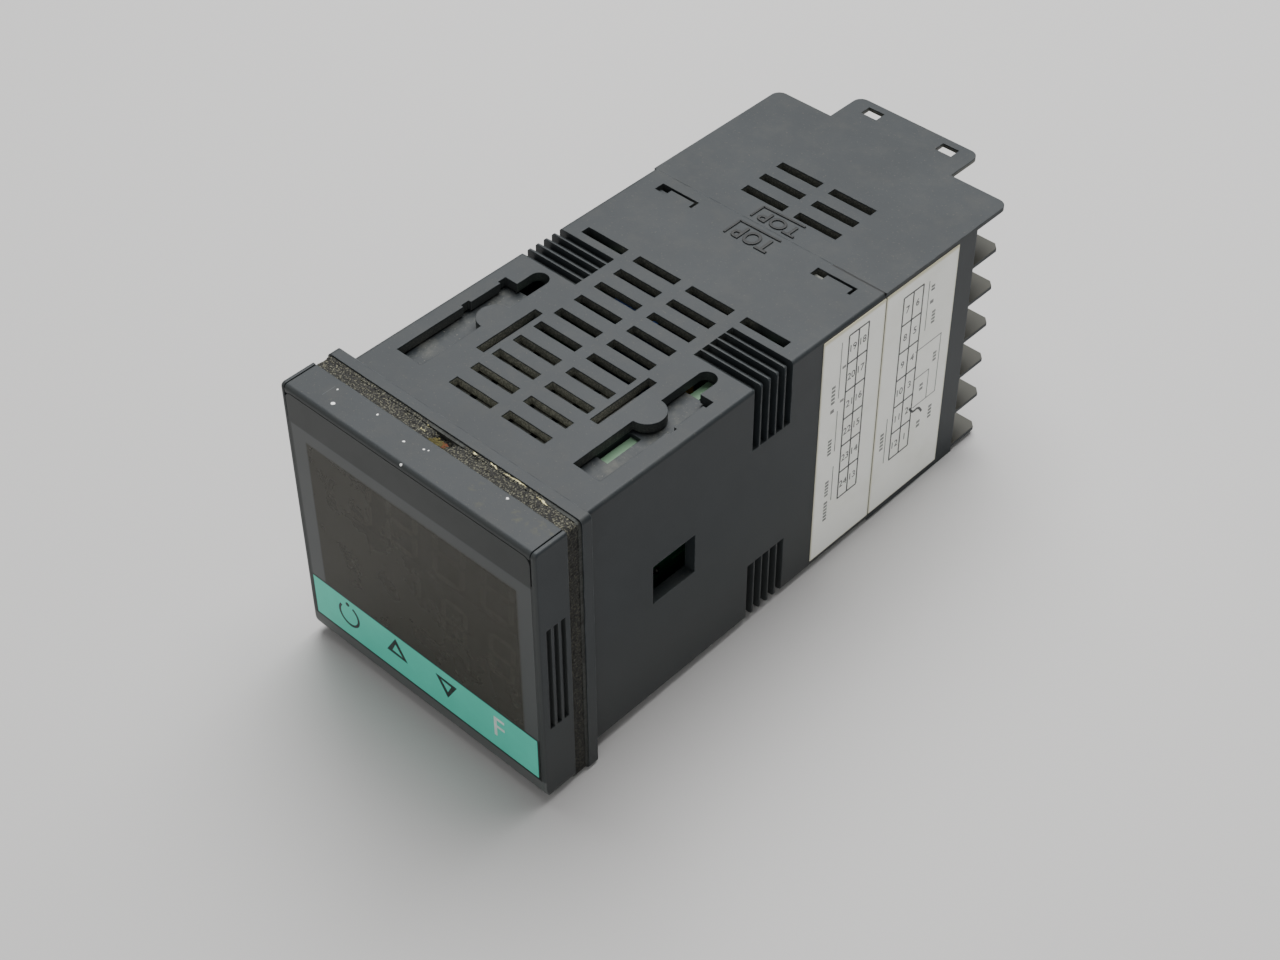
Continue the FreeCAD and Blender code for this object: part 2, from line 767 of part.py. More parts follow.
for row in range(HOUSING_VENT_ROWS):
    row_at = f"case_length + housing_vent_from_seam + {row} * vent_pitch"
    for side in (-1, 1):
        housing_vents.append(vent(f"housing_vent_{row}_{side + 1}", f"{side} * vent_column", row_at))
housing_top_vents = group("housing_top_vents", housing_vents)
TAB_HOLE_AT = f"{TAB_END} - tab_hole_from_end"
tab_hole = box(
    "tab_hole",
    ("tab_hole_offset - tab_hole_width / 2", f"{TAB_HOLE_AT} - tab_hole_length / 2", ROOF_INSIDE),
    ("tab_hole_offset + tab_hole_width / 2", f"{TAB_HOLE_AT} + tab_hole_length / 2", ROOF),
)

# Terminals: rows of four, each a clamp held to the wall by a slotted screw
SHANK_SIDES = 8
HEAD_SIDES = 12


def many_sided(label, base, radius, height, sides):
    """A bar along +Y with flat sides, for the small round forms that repeat."""
    bar = doc.addObject("Part::Prism", label)
    bar.Polygon = sides
    bar.Placement.Rotation = TURNS["y"]
    bind(bar, "Circumradius", radius)
    bind(bar, "Height", height)
    place(bar, base)
    return bar


COLUMN_STEPS = (-1.5, -0.5, 0.5, 1.5)
ROW_MIDDLE = f"({FIRST_BARRIER} + ({ROW_PITCH} - top_row_shortfall) / 2)"
CLAMP_BACK = f"({WALL_BACK} + clamp_depth)"
SCREW_END = f"({CLAMP_BACK} - screw_length)"
screw_holes = []
clamps = []
screws = []
for row in range(ROWS):
    height_at = f"({ROW_MIDDLE} - {row} * {ROW_PITCH})"
    for step in COLUMN_STEPS:
        across = f"({step} * {COLUMN_PITCH})"
        tag = f"{row}_{COLUMN_STEPS.index(step)}"
        screw_holes.append(
            many_sided(
                f"bore_{tag}",
                (across, f"{SCREW_END} - fit_gap", height_at),
                "screw_radius + fit_gap",
                "screw_length",
                SHANK_SIDES,
            )
        )
        clamp_block = box(
            f"clamp_block_{tag}",
            (f"{across} - clamp_width / 2", WALL_BACK, f"{height_at} - clamp_height / 2"),
            (f"{across} + clamp_width / 2", CLAMP_BACK, f"{height_at} + clamp_height / 2"),
        )
        wire_way = box(
            f"wire_way_{tag}",
            (f"{across} - clamp_width", f"{WALL_BACK} + clamp_bend", f"{height_at} - clamp_height"),
            (
                f"{across} + clamp_width",
                f"{CLAMP_BACK} - clamp_bend",
                f"{height_at} - clamp_height / 2 + clamp_bend",
            ),
        )
        screw_way = box(
            f"screw_way_{tag}",
            (
                f"{across} - screw_radius - fit_gap",
                f"{WALL_BACK} - {CUT_MARGIN}",
                f"{height_at} - clamp_height",
            ),
            (
                f"{across} + screw_radius + fit_gap",
                f"{CLAMP_BACK} + {CUT_MARGIN}",
                f"{height_at} + screw_radius + fit_gap",
            ),
        )
        ways = fuse(f"clamp_ways_{tag}", [wire_way, screw_way])
        clamps.append(cut(f"clamp_{tag}", clamp_block, [ways]))
        head = many_sided(
            f"head_{tag}",
            (across, CLAMP_BACK, height_at),
            "screw_head_radius",
            "screw_head_height",
            HEAD_SIDES,
        )
        shank = many_sided(
            f"shank_{tag}", (across, SCREW_END, height_at), "screw_radius", "screw_length", SHANK_SIDES
        )
        driver_slot = box(
            f"driver_slot_{tag}",
            (
                f"{across} - screw_head_radius - {CUT_MARGIN}",
                f"{CLAMP_BACK} + screw_head_height - screw_slot_depth",
                f"{height_at} - screw_slot_width / 2",
            ),
            (
                f"{across} + screw_head_radius + {CUT_MARGIN}",
                f"{CLAMP_BACK} + screw_head_height + {CUT_MARGIN}",
                f"{height_at} + screw_slot_width / 2",
            ),
        )
        screws.append(cut(f"screw_{tag}", fuse(f"screw_blank_{tag}", [head, shank]), [driver_slot]))
housing_openings = [housing_top_vents, mirror("housing_bottom_vents", housing_top_vents, "z")]
housing_openings += both_sides("tab_hole", tab_hole) + screw_holes
finish("rear_terminal_housing", cut("rear_terminal_housing", housing_block, housing_openings))
finish("terminal_clamps", group("terminal_clamps", clamps))
finish("terminal_screws", group("terminal_screws", screws))

# Board sockets: two grooved blocks on the terminal wall that grip the boards' rear edges
SOCKET_FRONT = f"({BOARD_END} - socket_grip)"
socket_block = box(
    "socket_block",
    (f"{BOARD_MIDDLE} - socket_thickness / 2", SOCKET_FRONT, f"socket_end_gap - {BOARD_TOP}"),
    (f"{BOARD_MIDDLE} + socket_thickness / 2", WALL_FRONT, f"{BOARD_TOP} - socket_end_gap"),
)
socket_groove = box(
    "socket_groove",
    (f"{BOARD_IN} - socket_clearance", f"{SOCKET_FRONT} - {CUT_MARGIN}", f"-{BOARD_TOP}"),
    (f"{BOARD_OUT} + socket_clearance", f"{BOARD_END} + slide_clearance", BOARD_TOP),
)
right_socket = cut("right_socket", socket_block, [socket_groove])
finish("board_sockets", group("board_sockets", both_sides("right_socket", right_socket)))

# Paper labels on the right-hand wall, parted at the seam
LABEL_LOW = f"label_bottom_margin - {HALF_CASE}"
LABEL_HIGH = f"{HALF_CASE} - label_top_margin"
finish(
    "side_label_front",
    box(
        "side_label_front",
        (HALF_CASE, f"{SEAM} - label_front_length", LABEL_LOW),
        (f"{HALF_CASE} + label_thickness", f"{SEAM} - label_gap", LABEL_HIGH),
    ),
)
finish(
    "side_label_rear",
    box(
        "side_label_rear",
        (HALF_CASE, f"{SEAM} + label_gap", LABEL_LOW),
        (f"{HALF_CASE} + label_thickness", f"{SEAM} + label_rear_length", LABEL_HIGH),
    ),
)


# Front bezel: a moulded frame with a rounded brow and foot, a film recess, a window and key holes
bezel_body = new_body("bezel_moulding")
bezel_sketch = sketch_in(bezel_body, "bezel_outline", "XZ_Plane", BEZEL_BACK)
rectangle(bezel_sketch, (f"-({HALF_FRONT})", f"-({HALF_FRONT})"), (HALF_FRONT, HALF_FRONT))
pad(bezel_body, "bezel_block", bezel_sketch, "bezel_depth")
front_face = bezel_body.Shape.BoundBox.YMin
half_front = doc_value(HALF_FRONT)


def on_front(edge, height):
    """Is the edge across the front face at that height"""
    return runs_along(edge, "x") and lies_at(edge, "y", front_face) and lies_at(edge, "z", height)


round_edges(bezel_body, "bezel_top_edge", "bezel_edge_radius", lambda e: on_front(e, half_front))
round_edges(bezel_body, "bezel_foot_edge", "bezel_foot_radius", lambda e: on_front(e, -half_front))
back_face = doc_value(BEZEL_BACK)
round_edges(
    bezel_body,
    "cheek_edges",
    "cheek_edge_radius",
    lambda e: lies_at(e, "x", e.BoundBox.XMax) and abs(abs(e.BoundBox.XMax) - half_front) < NEAR
    and not lies_at(e, "y", back_face),
)
hollow_sketch = sketch_in(bezel_body, "bezel_hollow_outline", "XZ_Plane", BEZEL_WALL_BACK)
HOLLOW_X = f"({CARRIER_X} + fit_gap)"
HOLLOW_Z = f"({CARRIER_Z} + fit_gap)"
rectangle(hollow_sketch, (f"-{HOLLOW_X}", f"-{HOLLOW_Z}"), (HOLLOW_X, HOLLOW_Z))
pocket(bezel_body, "bezel_hollow", hollow_sketch, "bezel_depth - bezel_front_wall")
recess_sketch = sketch_in(bezel_body, "film_recess_outline", "XZ_Plane", BEZEL_FRONT)
rectangle(
    recess_sketch,
    (f"-({FILM_HALF} + cheek_groove_width / 2)", f"{FILM_BOTTOM} - fit_gap"),
    (f"{FILM_HALF} + cheek_groove_width / 2", f"{FILM_TOP} + fit_gap"),
)
pocket(bezel_body, "film_recess", recess_sketch, "film_recess")
seat_sketch = sketch_in(bezel_body, "filter_seat_outline", "XZ_Plane", FILM_SEAT)
FILTER_HALF = f"({WINDOW_HALF} + filter_lap)"
rectangle(
    seat_sketch,
    (f"-({FILTER_HALF} + fit_gap)", f"{WINDOW_BOTTOM} - filter_lap - fit_gap"),
    (f"{FILTER_HALF} + fit_gap", f"{WINDOW_TOP} + filter_lap + fit_gap"),
)
pocket(bezel_body, "filter_seat", seat_sketch, "filter_thickness")
window_sketch = sketch_in(bezel_body, "window_outline", "XZ_Plane", FILM_SEAT)
LIT_HALF = f"({FILTER_HALF} - filter_ledge)"
rectangle(
    window_sketch,
    (f"-{LIT_HALF}", f"{WINDOW_BOTTOM} - filter_lap + filter_ledge"),
    (LIT_HALF, f"{WINDOW_TOP} + filter_lap - filter_ledge"),
)
pocket(bezel_body, "window", window_sketch, "bezel_front_wall")

KEY_STEPS = {"key_scroll": -1.5, "key_up": -0.5, "key_down": 0.5, "key_function": 1.5}
key_holes = []
for name, step in KEY_STEPS.items():
    key_holes.append(
        cylinder(
            name + "_hole",
            "y",
            (f"{step} * {KEY_PITCH}", f"{BEZEL_FRONT} - {CUT_MARGIN}", KEY_LINE),
            "key_radius + key_hole_clearance",
            f"bezel_front_wall + {2 * CUT_MARGIN}",
        )
    )
GRIPS = 3
grips = []
for i in range(GRIPS):
    middle = f"({BEZEL_FRONT} + grip_first_from_front + {i} * grip_pitch)"
    grips.append(
        box(
            f"grip_{i}",
            (f"{HALF_FRONT} - grip_depth", f"{middle} - grip_width / 2", "-grip_length / 2"),
            (f"{HALF_FRONT} + {CUT_MARGIN}", f"{middle} + grip_width / 2", "grip_length / 2"),
        )
    )
grip_grooves = both_sides("grip_grooves", group("grip_grooves", grips))

# Cheek grooves: a fine line over the top and a little way down the front, beside each cheek
core_body = new_body("cheek_groove_core")
CORE_HALF = f"({HALF_FRONT} - cheek_groove_depth)"
core_sketch = sketch_in(core_body, "cheek_groove_core_outline", "XZ_Plane", f"{BEZEL_BACK} + {CUT_MARGIN}")
rectangle(core_sketch, (f"-{CORE_HALF}", f"-{CORE_HALF}"), (CORE_HALF, CORE_HALF))
pad(core_body, "cheek_groove_core_block", core_sketch, f"bezel_depth - cheek_groove_depth + {CUT_MARGIN}")
core_front = core_body.Shape.BoundBox.YMin
round_edges(
    core_body,
    "cheek_groove_core_edges",
    "bezel_edge_radius - cheek_groove_depth",
    lambda e: runs_along(e, "x") and lies_at(e, "y", core_front),
)
groove_slab = box(
    "cheek_groove_slab",
    (FILM_HALF, f"{BEZEL_FRONT} - {CUT_MARGIN}", f"{HALF_FRONT} - cheek_groove_drop"),
    (f"{FILM_HALF} + cheek_groove_width", f"{BEZEL_BACK} + {CUT_MARGIN}", f"{HALF_FRONT} + {CUT_MARGIN}"),
)
cheek_grooves = both_sides("cheek_groove", cut("cheek_groove", groove_slab, [core_body]))

# Lower corners of the bezel: what lies outside a quarter circle is cut off over the whole depth
CORNER_AT = f"({HALF_FRONT} - bezel_lower_corner_radius)"
corner_block = box(
    "lower_corner_block",
    (CORNER_AT, f"{BEZEL_FRONT} - {CUT_MARGIN}", f"-({HALF_FRONT}) - {CUT_MARGIN}"),
    (f"{HALF_FRONT} + {CUT_MARGIN}", f"{BEZEL_BACK} + {CUT_MARGIN}", f"-{CORNER_AT}"),
)
corner_round = cylinder(
    "lower_corner_round",
    "y",
    (CORNER_AT, f"{BEZEL_FRONT} - {2 * CUT_MARGIN}", f"-{CORNER_AT}"),
    "bezel_lower_corner_radius",
    f"bezel_depth + {4 * CUT_MARGIN}",
)
lower_corners = both_sides("lower_corner", cut("lower_corner", corner_block, [corner_round]))
bezel_cuts = key_holes + grip_grooves + cheek_grooves + lower_corners
finish("front_bezel", cut("front_bezel", bezel_body, bezel_cuts))

# Printed film over the bezel, clear at the window
film_body = new_body("film_sheet")
film_sketch = sketch_in(film_body, "film_outline", "XZ_Plane", FILM_SEAT)
rectangle(film_sketch, (f"-{FILM_HALF}", FILM_BOTTOM), (FILM_HALF, FILM_TOP))
pad(film_body, "film", film_sketch, "film_thickness")
round_edges(film_body, "film_corners", "film_corner_radius", lambda e: runs_along(e, "y"))
finish("front_film", film_body)

# Smoked filter pane behind the film, on the bezel's ledge
finish(
    "display_filter",
    box(
        "display_filter",
        (f"-{FILTER_HALF}", FILM_SEAT, f"{WINDOW_BOTTOM} - filter_lap"),
        (FILTER_HALF, FILTER_BACK, f"{WINDOW_TOP} + filter_lap"),
    ),
)

# Foam gasket between the bezel and the flange
gasket_body = new_body("gasket_ring")
gasket_sketch = sketch_in(gasket_body, "gasket_outline", "XZ_Plane", FLANGE_FRONT)
GASKET_HALF = "(front_size / 2 - gasket_inset)"
GASKET_HOLE = "(front_size / 2 - gasket_inset - gasket_width)"
rectangle(gasket_sketch, (f"-{GASKET_HALF}", f"-{GASKET_HALF}"), (GASKET_HALF, GASKET_HALF))
pad(gasket_body, "gasket_block", gasket_sketch, "gasket_thickness")
round_edges(gasket_body, "gasket_corners", "gasket_corner_radius", lambda e: runs_along(e, "y"))
gasket_hole_sketch = sketch_in(gasket_body, "gasket_hole_outline", "XZ_Plane", BEZEL_BACK)
rectangle(gasket_hole_sketch, (f"-{GASKET_HOLE}", f"-{GASKET_HOLE}"), (GASKET_HOLE, GASKET_HOLE))
pocket(gasket_body, "gasket_hole", gasket_hole_sketch, "gasket_thickness")
finish("gasket", gasket_body)

# Keys: turned plungers with a collar, behind the film and in front of the switches
SWITCH_TOP = f"({BOARD_FRONT} - switch_height - switch_button_height)"
COLLAR_FRONT = f"({BEZEL_WALL_BACK} + fit_gap)"
for name, step in KEY_STEPS.items():
    plunger = new_body(name + "_plunger")
    plunger_sketch = sketch_in(plunger, name + "_profile", "XY_Plane", "0")
    polygon(
        plunger_sketch,
        [
            ("0", f"{FILM_SEAT} + fit_gap / 2"),
            ("key_radius", f"{FILM_SEAT} + fit_gap / 2"),
            ("key_radius", COLLAR_FRONT),
            ("key_collar_radius", COLLAR_FRONT),
            ("key_collar_radius", f"{SWITCH_TOP} - key_travel - fit_gap"),
            ("0", f"{SWITCH_TOP} - key_travel - fit_gap"),
        ],
    )
    turned = plunger.newObject("PartDesign::Revolution", name + "_turned")
    turned.Profile = plunger_sketch
    turned.ReferenceAxis = (plunger_sketch, ["V_Axis"])
    place(plunger, (f"{step} * {KEY_PITCH}", "0", KEY_LINE))
    finish(name, plunger)

# Display board with its switches and two digit blocks
finish(
    "display_board",
    box(
        "display_board",
        (f"-({CARRIER_INNER_X} - fit_gap)", BOARD_FRONT, f"-({CARRIER_INNER_Z} - fit_gap)"),
        (f"{CARRIER_INNER_X} - fit_gap", BOARD_BACK, f"{CARRIER_INNER_Z} - fit_gap"),
    ),
)
switches = []
for name, step in KEY_STEPS.items():
    middle = f"{step} * {KEY_PITCH}"
    switch_body = box(
        name + "_switch_body",
        (f"{middle} - switch_size / 2", f"{BOARD_FRONT} - switch_height", f"{KEY_LINE} - switch_size / 2"),
        (f"{middle} + switch_size / 2", BOARD_FRONT, f"{KEY_LINE} + switch_size / 2"),
    )
    button = cylinder(
        name + "_switch_button",
        "y",
        (middle, SWITCH_TOP, KEY_LINE),
        "switch_button_radius",
        "switch_button_height",
    )
    switches.append(fuse(name + "_switch", [switch_body, button]))
finish("key_switches", group("key_switches", switches))
UPPER_LOW = f"({WINDOW_TOP} - display_gap - upper_display_height)"
DISPLAY_HALF = f"({WINDOW_HALF} - display_side_gap)"


def digit_block(label, low, high):
    finish(
        label,
        box(
            label,
            (f"-{DISPLAY_HALF}", DISPLAY_FRONT, low),
            (DISPLAY_HALF, BOARD_FRONT, high),
        ),
    )


digit_block("upper_display", UPPER_LOW, f"{WINDOW_TOP} - display_gap")
digit_block("lower_display", f"{WINDOW_BOTTOM} + display_gap", f"{UPPER_LOW} - display_gap")

# Carrier: a ring in the bezel's hollow with slotted plates, and wings that reach over the boards' edges
RING_FRONT = f"({BEZEL_WALL_BACK} + fit_gap)"
ring = cut(
    "carrier_ring",
    box(
        "ring_outer",
        (f"-{CARRIER_X}", RING_FRONT, f"-{CARRIER_Z}"),
        (CARRIER_X, "carrier_ring_back", CARRIER_Z),
    ),
    [
        box(
            "ring_mouth",
            (f"-{CARRIER_INNER_X}", f"{RING_FRONT} - {CUT_MARGIN}", f"-{CARRIER_INNER_Z}"),
            (CARRIER_INNER_X, f"carrier_ring_back + {CUT_MARGIN}", CARRIER_INNER_Z),
        )
    ],
)
PLATE_HALF = f"({BOARD_IN} - carrier_board_gap)"
ledge = box(
    "carrier_ledge",
    (f"-{PLATE_HALF}", BOARD_BACK, f"{CARRIER_INNER_Z} - carrier_ledge"),
    (PLATE_HALF, LEDGE_BACK, f"{CARRIER_INNER_Z} + carrier_wall / 2"),
)
carrier_plate = box(
    "carrier_plate",
    (f"-{PLATE_HALF}", f"carrier_ring_back - {CUT_MARGIN}", CARRIER_INNER_Z),
    (PLATE_HALF, "carrier_plate_back", CARRIER_Z),
)
wing_body = new_body("carrier_wing")
wing_sketch = sketch_in(wing_body, "carrier_wing_outline", "XY_Plane", CARRIER_INNER_Z)
rectangle(
    wing_sketch,
    (f"{BOARD_OUT} + carrier_board_gap", f"carrier_ring_back - {CUT_MARGIN}"),
    (CARRIER_X, "carrier_wing_back"),
)
pad(wing_body, "carrier_wing_pad", wing_sketch, "carrier_wall")
wing_inner = wing_body.Shape.BoundBox.XMin
wing_rear = wing_body.Shape.BoundBox.YMax
round_edges(
    wing_body,
    "carrier_wing_corner",
    "carrier_wing_radius",
    lambda e: runs_along(e, "z") and lies_at(e, "y", wing_rear) and lies_at(e, "x", wing_inner),
)
COVER_START = f"carrier_ring_back - {CUT_MARGIN}"
COVER_LOW = f"({BOARD_TOP} + fit_gap)"
COVER_IN = f"({BOARD_IN} - cover_lap)"
COVER_OUT = f"({BOARD_OUT} + cover_lap)"
WING_END = "carrier_wing_back"
covers = [
    box("cover_left", (f"-{COVER_OUT}", COVER_START, COVER_LOW), (f"-{COVER_IN}", WING_END, CARRIER_Z)),
    box("cover_front", (COVER_IN, COVER_START, COVER_LOW), (COVER_OUT, "cover_notch_start", CARRIER_Z)),
    box("cover_rear", (COVER_IN, "cover_notch_end", COVER_LOW), (COVER_OUT, WING_END, CARRIER_Z)),
]
wings = both_sides("carrier_wing", wing_body)
upper_half = fuse("carrier_upper", [ledge, carrier_plate] + wings + covers)
carrier_slots = []
SLOT_LOW = f"{CARRIER_INNER_Z} - {CUT_MARGIN}"
for pair in (-0.5, 0.5):
    for step in (-0.5, 0.5):
        middle = f"({pair} * carrier_slot_spread + {step} * carrier_slot_pitch - carrier_slot_shift)"
        carrier_slots.append(
            box(
                f"carrier_slot_{len(carrier_slots)}",
                (f"{middle} - carrier_slot_width / 2", "carrier_slot_start", SLOT_LOW),
                (f"{middle} + carrier_slot_width / 2", "carrier_slot_end", f"{CARRIER_Z} + {CUT_MARGIN}"),
            )
        )
slots = group("carrier_slots", carrier_slots)
carrier_block = fuse("carrier_block", [ring] + both_sides("carrier_upper", upper_half, "z"))
finish("board_carrier", cut("board_carrier", carrier_block, both_sides("carrier_slots", slots, "z")))

# Upright boards, their headers and the parts on them
board_front = "carrier_ring_back + fit_gap"


def upright_board(label, inner, outer):
    finish(label, box(label, (inner, board_front, f"-{BOARD_TOP}"), (outer, BOARD_END, BOARD_TOP)))


upright_board("main_board", f"-{BOARD_OUT}", f"-{BOARD_IN}")
upright_board("power_board", BOARD_IN, BOARD_OUT)
header = box(
    "header",
    (f"{BOARD_IN} - header_width", BOARD_BACK, "-header_height / 2"),
    (BOARD_IN, f"{board_front} + header_width", "header_height / 2"),
)
finish("board_headers", group("board_headers", both_sides("header", header)))

coil = box(
    "coil",
    (f"{BOARD_IN} - transformer_thickness", "transformer_start", "-transformer_height / 2"),
    (BOARD_IN, "transformer_start + transformer_length", "transformer_height / 2"),
)
CORE_MIDDLE = f"({BOARD_IN} - transformer_thickness / 2)"
core = box(
    "core",
    (
        f"{CORE_MIDDLE} - core_thickness / 2",
        "transformer_start - core_overhang",
        "-transformer_height / 2 - core_overhang",
    ),
    (
        f"{CORE_MIDDLE} + core_thickness / 2",
        "transformer_start + transformer_length + core_overhang",
        "transformer_height / 2 + core_overhang",
    ),
)
finish("transformer_core", cut("transformer_core", core, [coil]))
finish("transformer_coil", coil)

relays = []
for side in (-1, 1):
    middle = f"({side} * relay_spread)"
    relays.append(
        box(
            f"relay_{side + 1}",
            (f"-{BOARD_IN}", "relay_start", f"{middle} - relay_height / 2"),
            (f"relay_thickness - {BOARD_IN}", "relay_start + relay_length", f"{middle} + relay_height / 2"),
        )
    )
finish("output_relays", group("output_relays", relays))

capacitors = []
for side in (-1, 1):
    capacitors.append(
        cylinder(
            f"capacitor_{side + 1}",
            "x",
            (f"{BOARD_IN} - capacitor_length", "capacitor_at", f"{side} * capacitor_spread"),
            "capacitor_radius",
            "capacitor_length",
        )
    )
finish("supply_capacitors", group("supply_capacitors", capacitors))
finish(
    "processor_chip",
    box(
        "processor_chip",
        (f"-{BOARD_IN}", "chip_start", "-chip_size / 2"),
        (f"chip_thickness - {BOARD_IN}", "chip_start + chip_size", "chip_size / 2"),
    ),
)

# Every object has to be sound before anything is written
doc.recompute()
for thing in doc.Objects:
    if "Invalid" in thing.State or "Error" in thing.State:
        raise RuntimeError(f"{thing.Label} failed: {thing.State}")
for label, piece in PARTS.items():
    if piece.Shape.isNull() or not piece.Shape.isValid():
        raise RuntimeError(f"{label} has no sound shape")

os.makedirs("parts", exist_ok=True)
for label, piece in PARTS.items():
    piece.Shape.exportStep(f"parts/{label}.step")
print(len(PARTS), "parts,", sum(len(piece.Shape.Solids) for piece in PARTS.values()), "solids")
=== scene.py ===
"""The looks of a square panel temperature controller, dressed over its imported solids."""

import math

import bpy
import numpy as np
from mathutils import Matrix, Vector


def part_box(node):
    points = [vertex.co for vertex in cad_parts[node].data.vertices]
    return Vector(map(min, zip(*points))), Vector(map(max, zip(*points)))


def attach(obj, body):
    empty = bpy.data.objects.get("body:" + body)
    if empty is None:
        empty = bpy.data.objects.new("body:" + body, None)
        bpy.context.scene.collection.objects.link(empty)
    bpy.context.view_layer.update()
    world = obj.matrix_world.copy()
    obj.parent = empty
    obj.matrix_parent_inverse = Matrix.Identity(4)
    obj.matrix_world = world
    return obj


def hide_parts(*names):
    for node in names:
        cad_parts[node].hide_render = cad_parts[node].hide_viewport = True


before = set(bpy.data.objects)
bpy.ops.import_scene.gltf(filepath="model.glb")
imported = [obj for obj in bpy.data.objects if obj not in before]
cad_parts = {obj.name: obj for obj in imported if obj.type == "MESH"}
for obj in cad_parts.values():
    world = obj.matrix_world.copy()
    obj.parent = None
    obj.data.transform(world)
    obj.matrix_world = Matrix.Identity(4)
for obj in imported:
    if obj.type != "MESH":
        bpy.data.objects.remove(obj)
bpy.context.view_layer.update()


# Case shell
# The square tube that goes through the panel, with its flange, cooling slots, keyholes and toothed bands.
# It is moulded in one piece from dark grey plastic with a fine matt grain, and years of dust lie on its top.
MM = 0.001


def feed(made, inputs):
    """Links each socket among the inputs to a node, and sets any other value on the node's input."""
    for name, value in inputs.items():
        if isinstance(value, bpy.types.NodeSocket):
            made.id_data.links.new(value, made.inputs[name])
        else:
            made.inputs[name].default_value = value


def node(tree, kind, inputs=None, **settings):
    """A new shader node with its settings and its inputs."""
    made = tree.nodes.new("ShaderNode" + kind)
    for name, value in settings.items():
        setattr(made, name, value)
    feed(made, inputs or {})
    return made


def new_group(name, inputs, outputs):
    """An empty node group: number inputs as name and value, outputs as name and kind."""
    group = bpy.data.node_groups.new(name, "ShaderNodeTree")
    for title, value in inputs.items():
        group.interface.new_socket(title, in_out="INPUT", socket_type="NodeSocketFloat").default_value = value
    for title, kind in outputs.items():
        group.interface.new_socket(title, in_out="OUTPUT", socket_type="NodeSocket" + kind)
    return group, group.nodes.new("NodeGroupInput").outputs, group.nodes.new("NodeGroupOutput")


def new_material(name):
    """A new material and its node tree."""
    material = bpy.data.materials.new(name)
    material.use_nodes = True
    return material, material.node_tree


def paint(red, green, blue):
    """A colour given as a screen shows it, 0 to 255, as the linear values that a shader takes."""
    shown = np.array([red, green, blue]) / 255
    linear = np.where(shown <= 0.04045, shown / 12.92, ((shown + 0.055) / 1.055) ** 2.4)
    return (*linear.tolist(), 1.0)


def tint(mask, under, over):
    """The colour under, and over it another where the mask is 1; each is a socket or a screen's colour."""
    under, over = (paint(*colour) if isinstance(colour, tuple) else colour for colour in (under, over))
    return node(mask.id_data, "Mix", {0: mask, 6: under, 7: over}, data_type="RGBA").outputs[2]


def reckon(operation, first, second=0.0, third=0.0):
    """One sum on a socket and up to two more numbers."""
    return node(first.id_data, "Math", {0: first, 1: second, 2: third}, operation=operation).outputs[0]


def product(first, *others):
    """Masks and shares multiplied together."""
    for other in others:
        first = reckon("MULTIPLY", first, other)
    return first


def ramp(value, low, high):
    """0 at low, 1 at high and a smooth step between, also where low is the larger."""
    step = {"Value": value, "From Min": low, "From Max": high}
    return node(value.id_data, "MapRange", step, interpolation_type="SMOOTHSTEP").outputs[0]


def facing(tree, axis):
    """How far the surface faces along an axis, from -1 to 1."""
    return node(tree, "SeparateXYZ", {0: node(tree, "NewGeometry").outputs["Normal"]}).outputs[axis]


def noise(tree, scale, detail=3.0, rough=0.6, stretch=None):
    """Noise on Object coordinates, stretched along the axes where asked."""
    place = node(tree, "TexCoord").outputs["Object"]
    if stretch:
        place = node(tree, "Mapping", {"Vector": place, "Scale": stretch}).outputs[0]
    return node(tree, "TexNoise", {"Vector": place, "Scale": scale, "Detail": detail, "Roughness": rough}).outputs[0]


def patches(tree, fineness, low, high, detail=2.0):
    """Patches or grains: 1 where a noise is above high, 0 where it is below low."""
    return ramp(noise(tree, fineness, detail), low, high)


def moulded_grain():
    """Fine noise for the grain's height and broad noise for uneven colour."""
    group, _, out = new_group("moulded_grain", {}, {"Height": "Float", "Tone": "Float"})
    feed(out, {"Height": noise(group, 3800.0, 2.0), "Tone": patches(group, 70.0, 0.3, 0.7, 5.0)})
    return group


def soft_edges():
    """A rounded normal across sharp edges, and a mask of the line where it leaves the flat one: rubbed wear that is
    partly a painted edge highlight.
    """
    group, given, out = new_group("soft_edges", {"Radius": 0.2 * MM}, {"Normal": "Vector", "Rub": "Float"})
    rounded = node(group, "Bevel", {"Radius": given["Radius"]}, samples=4).outputs[0]
    flat = node(group, "NewGeometry").outputs["Normal"]
    agreement = node(group, "VectorMath", {0: rounded, 1: flat}, operation="DOT_PRODUCT").outputs["Value"]
    breaks = patches(group, 320.0, 0.38, 0.62, 4.0)
    feed(out, {"Normal": rounded, "Rub": product(ramp(agreement, 0.995, 0.8), breaks)})
    return group


def settled_dust():
    """A thin uneven veil and fine specks, both only on what faces upwards."""
    group, given, out = new_group("settled_dust", {"Veil": 0.3, "Specks": 0.3}, {"Dust": "Float"})
    cloud = ramp(noise(group, 240.0, 6.0, 0.7), 0.42, 0.78)
    speck = patches(group, 2600.0, 0.66, 0.74, 1.0)
    veil, specks = product(cloud, given["Veil"]), product(speck, given["Specks"])
    upward = ramp(facing(group, "Z"), 0.2, 0.95)
    feed(out, {"Dust": product(reckon("MAXIMUM", veil, specks), upward)})
    return group


MATT_GLOSS = 0.29
GRAIN = moulded_grain()
EDGES = soft_edges()
DUST = settled_dust()


def shade(material, colour, rough, relief=(), gloss=0.5, **others):
    """Feeds a material's shader: its colour, its roughness as a mask, the mask's share and the least, its fine
    relief as height, strength, depth and the normal that it lies on, its gloss, and any other input by its name."""
    tree = material.node_tree
    looks = {"Base Color": colour, "Roughness": reckon("MULTIPLY_ADD", *rough), "Specular IOR Level": gloss}
    if relief:
        bump = dict(zip(("Height", "Strength", "Distance", "Normal"), relief))
        looks["Normal"] = node(tree, "Bump", bump).outputs[0]
    feed(tree.nodes["Principled BSDF"], {**looks, **others})
    return material


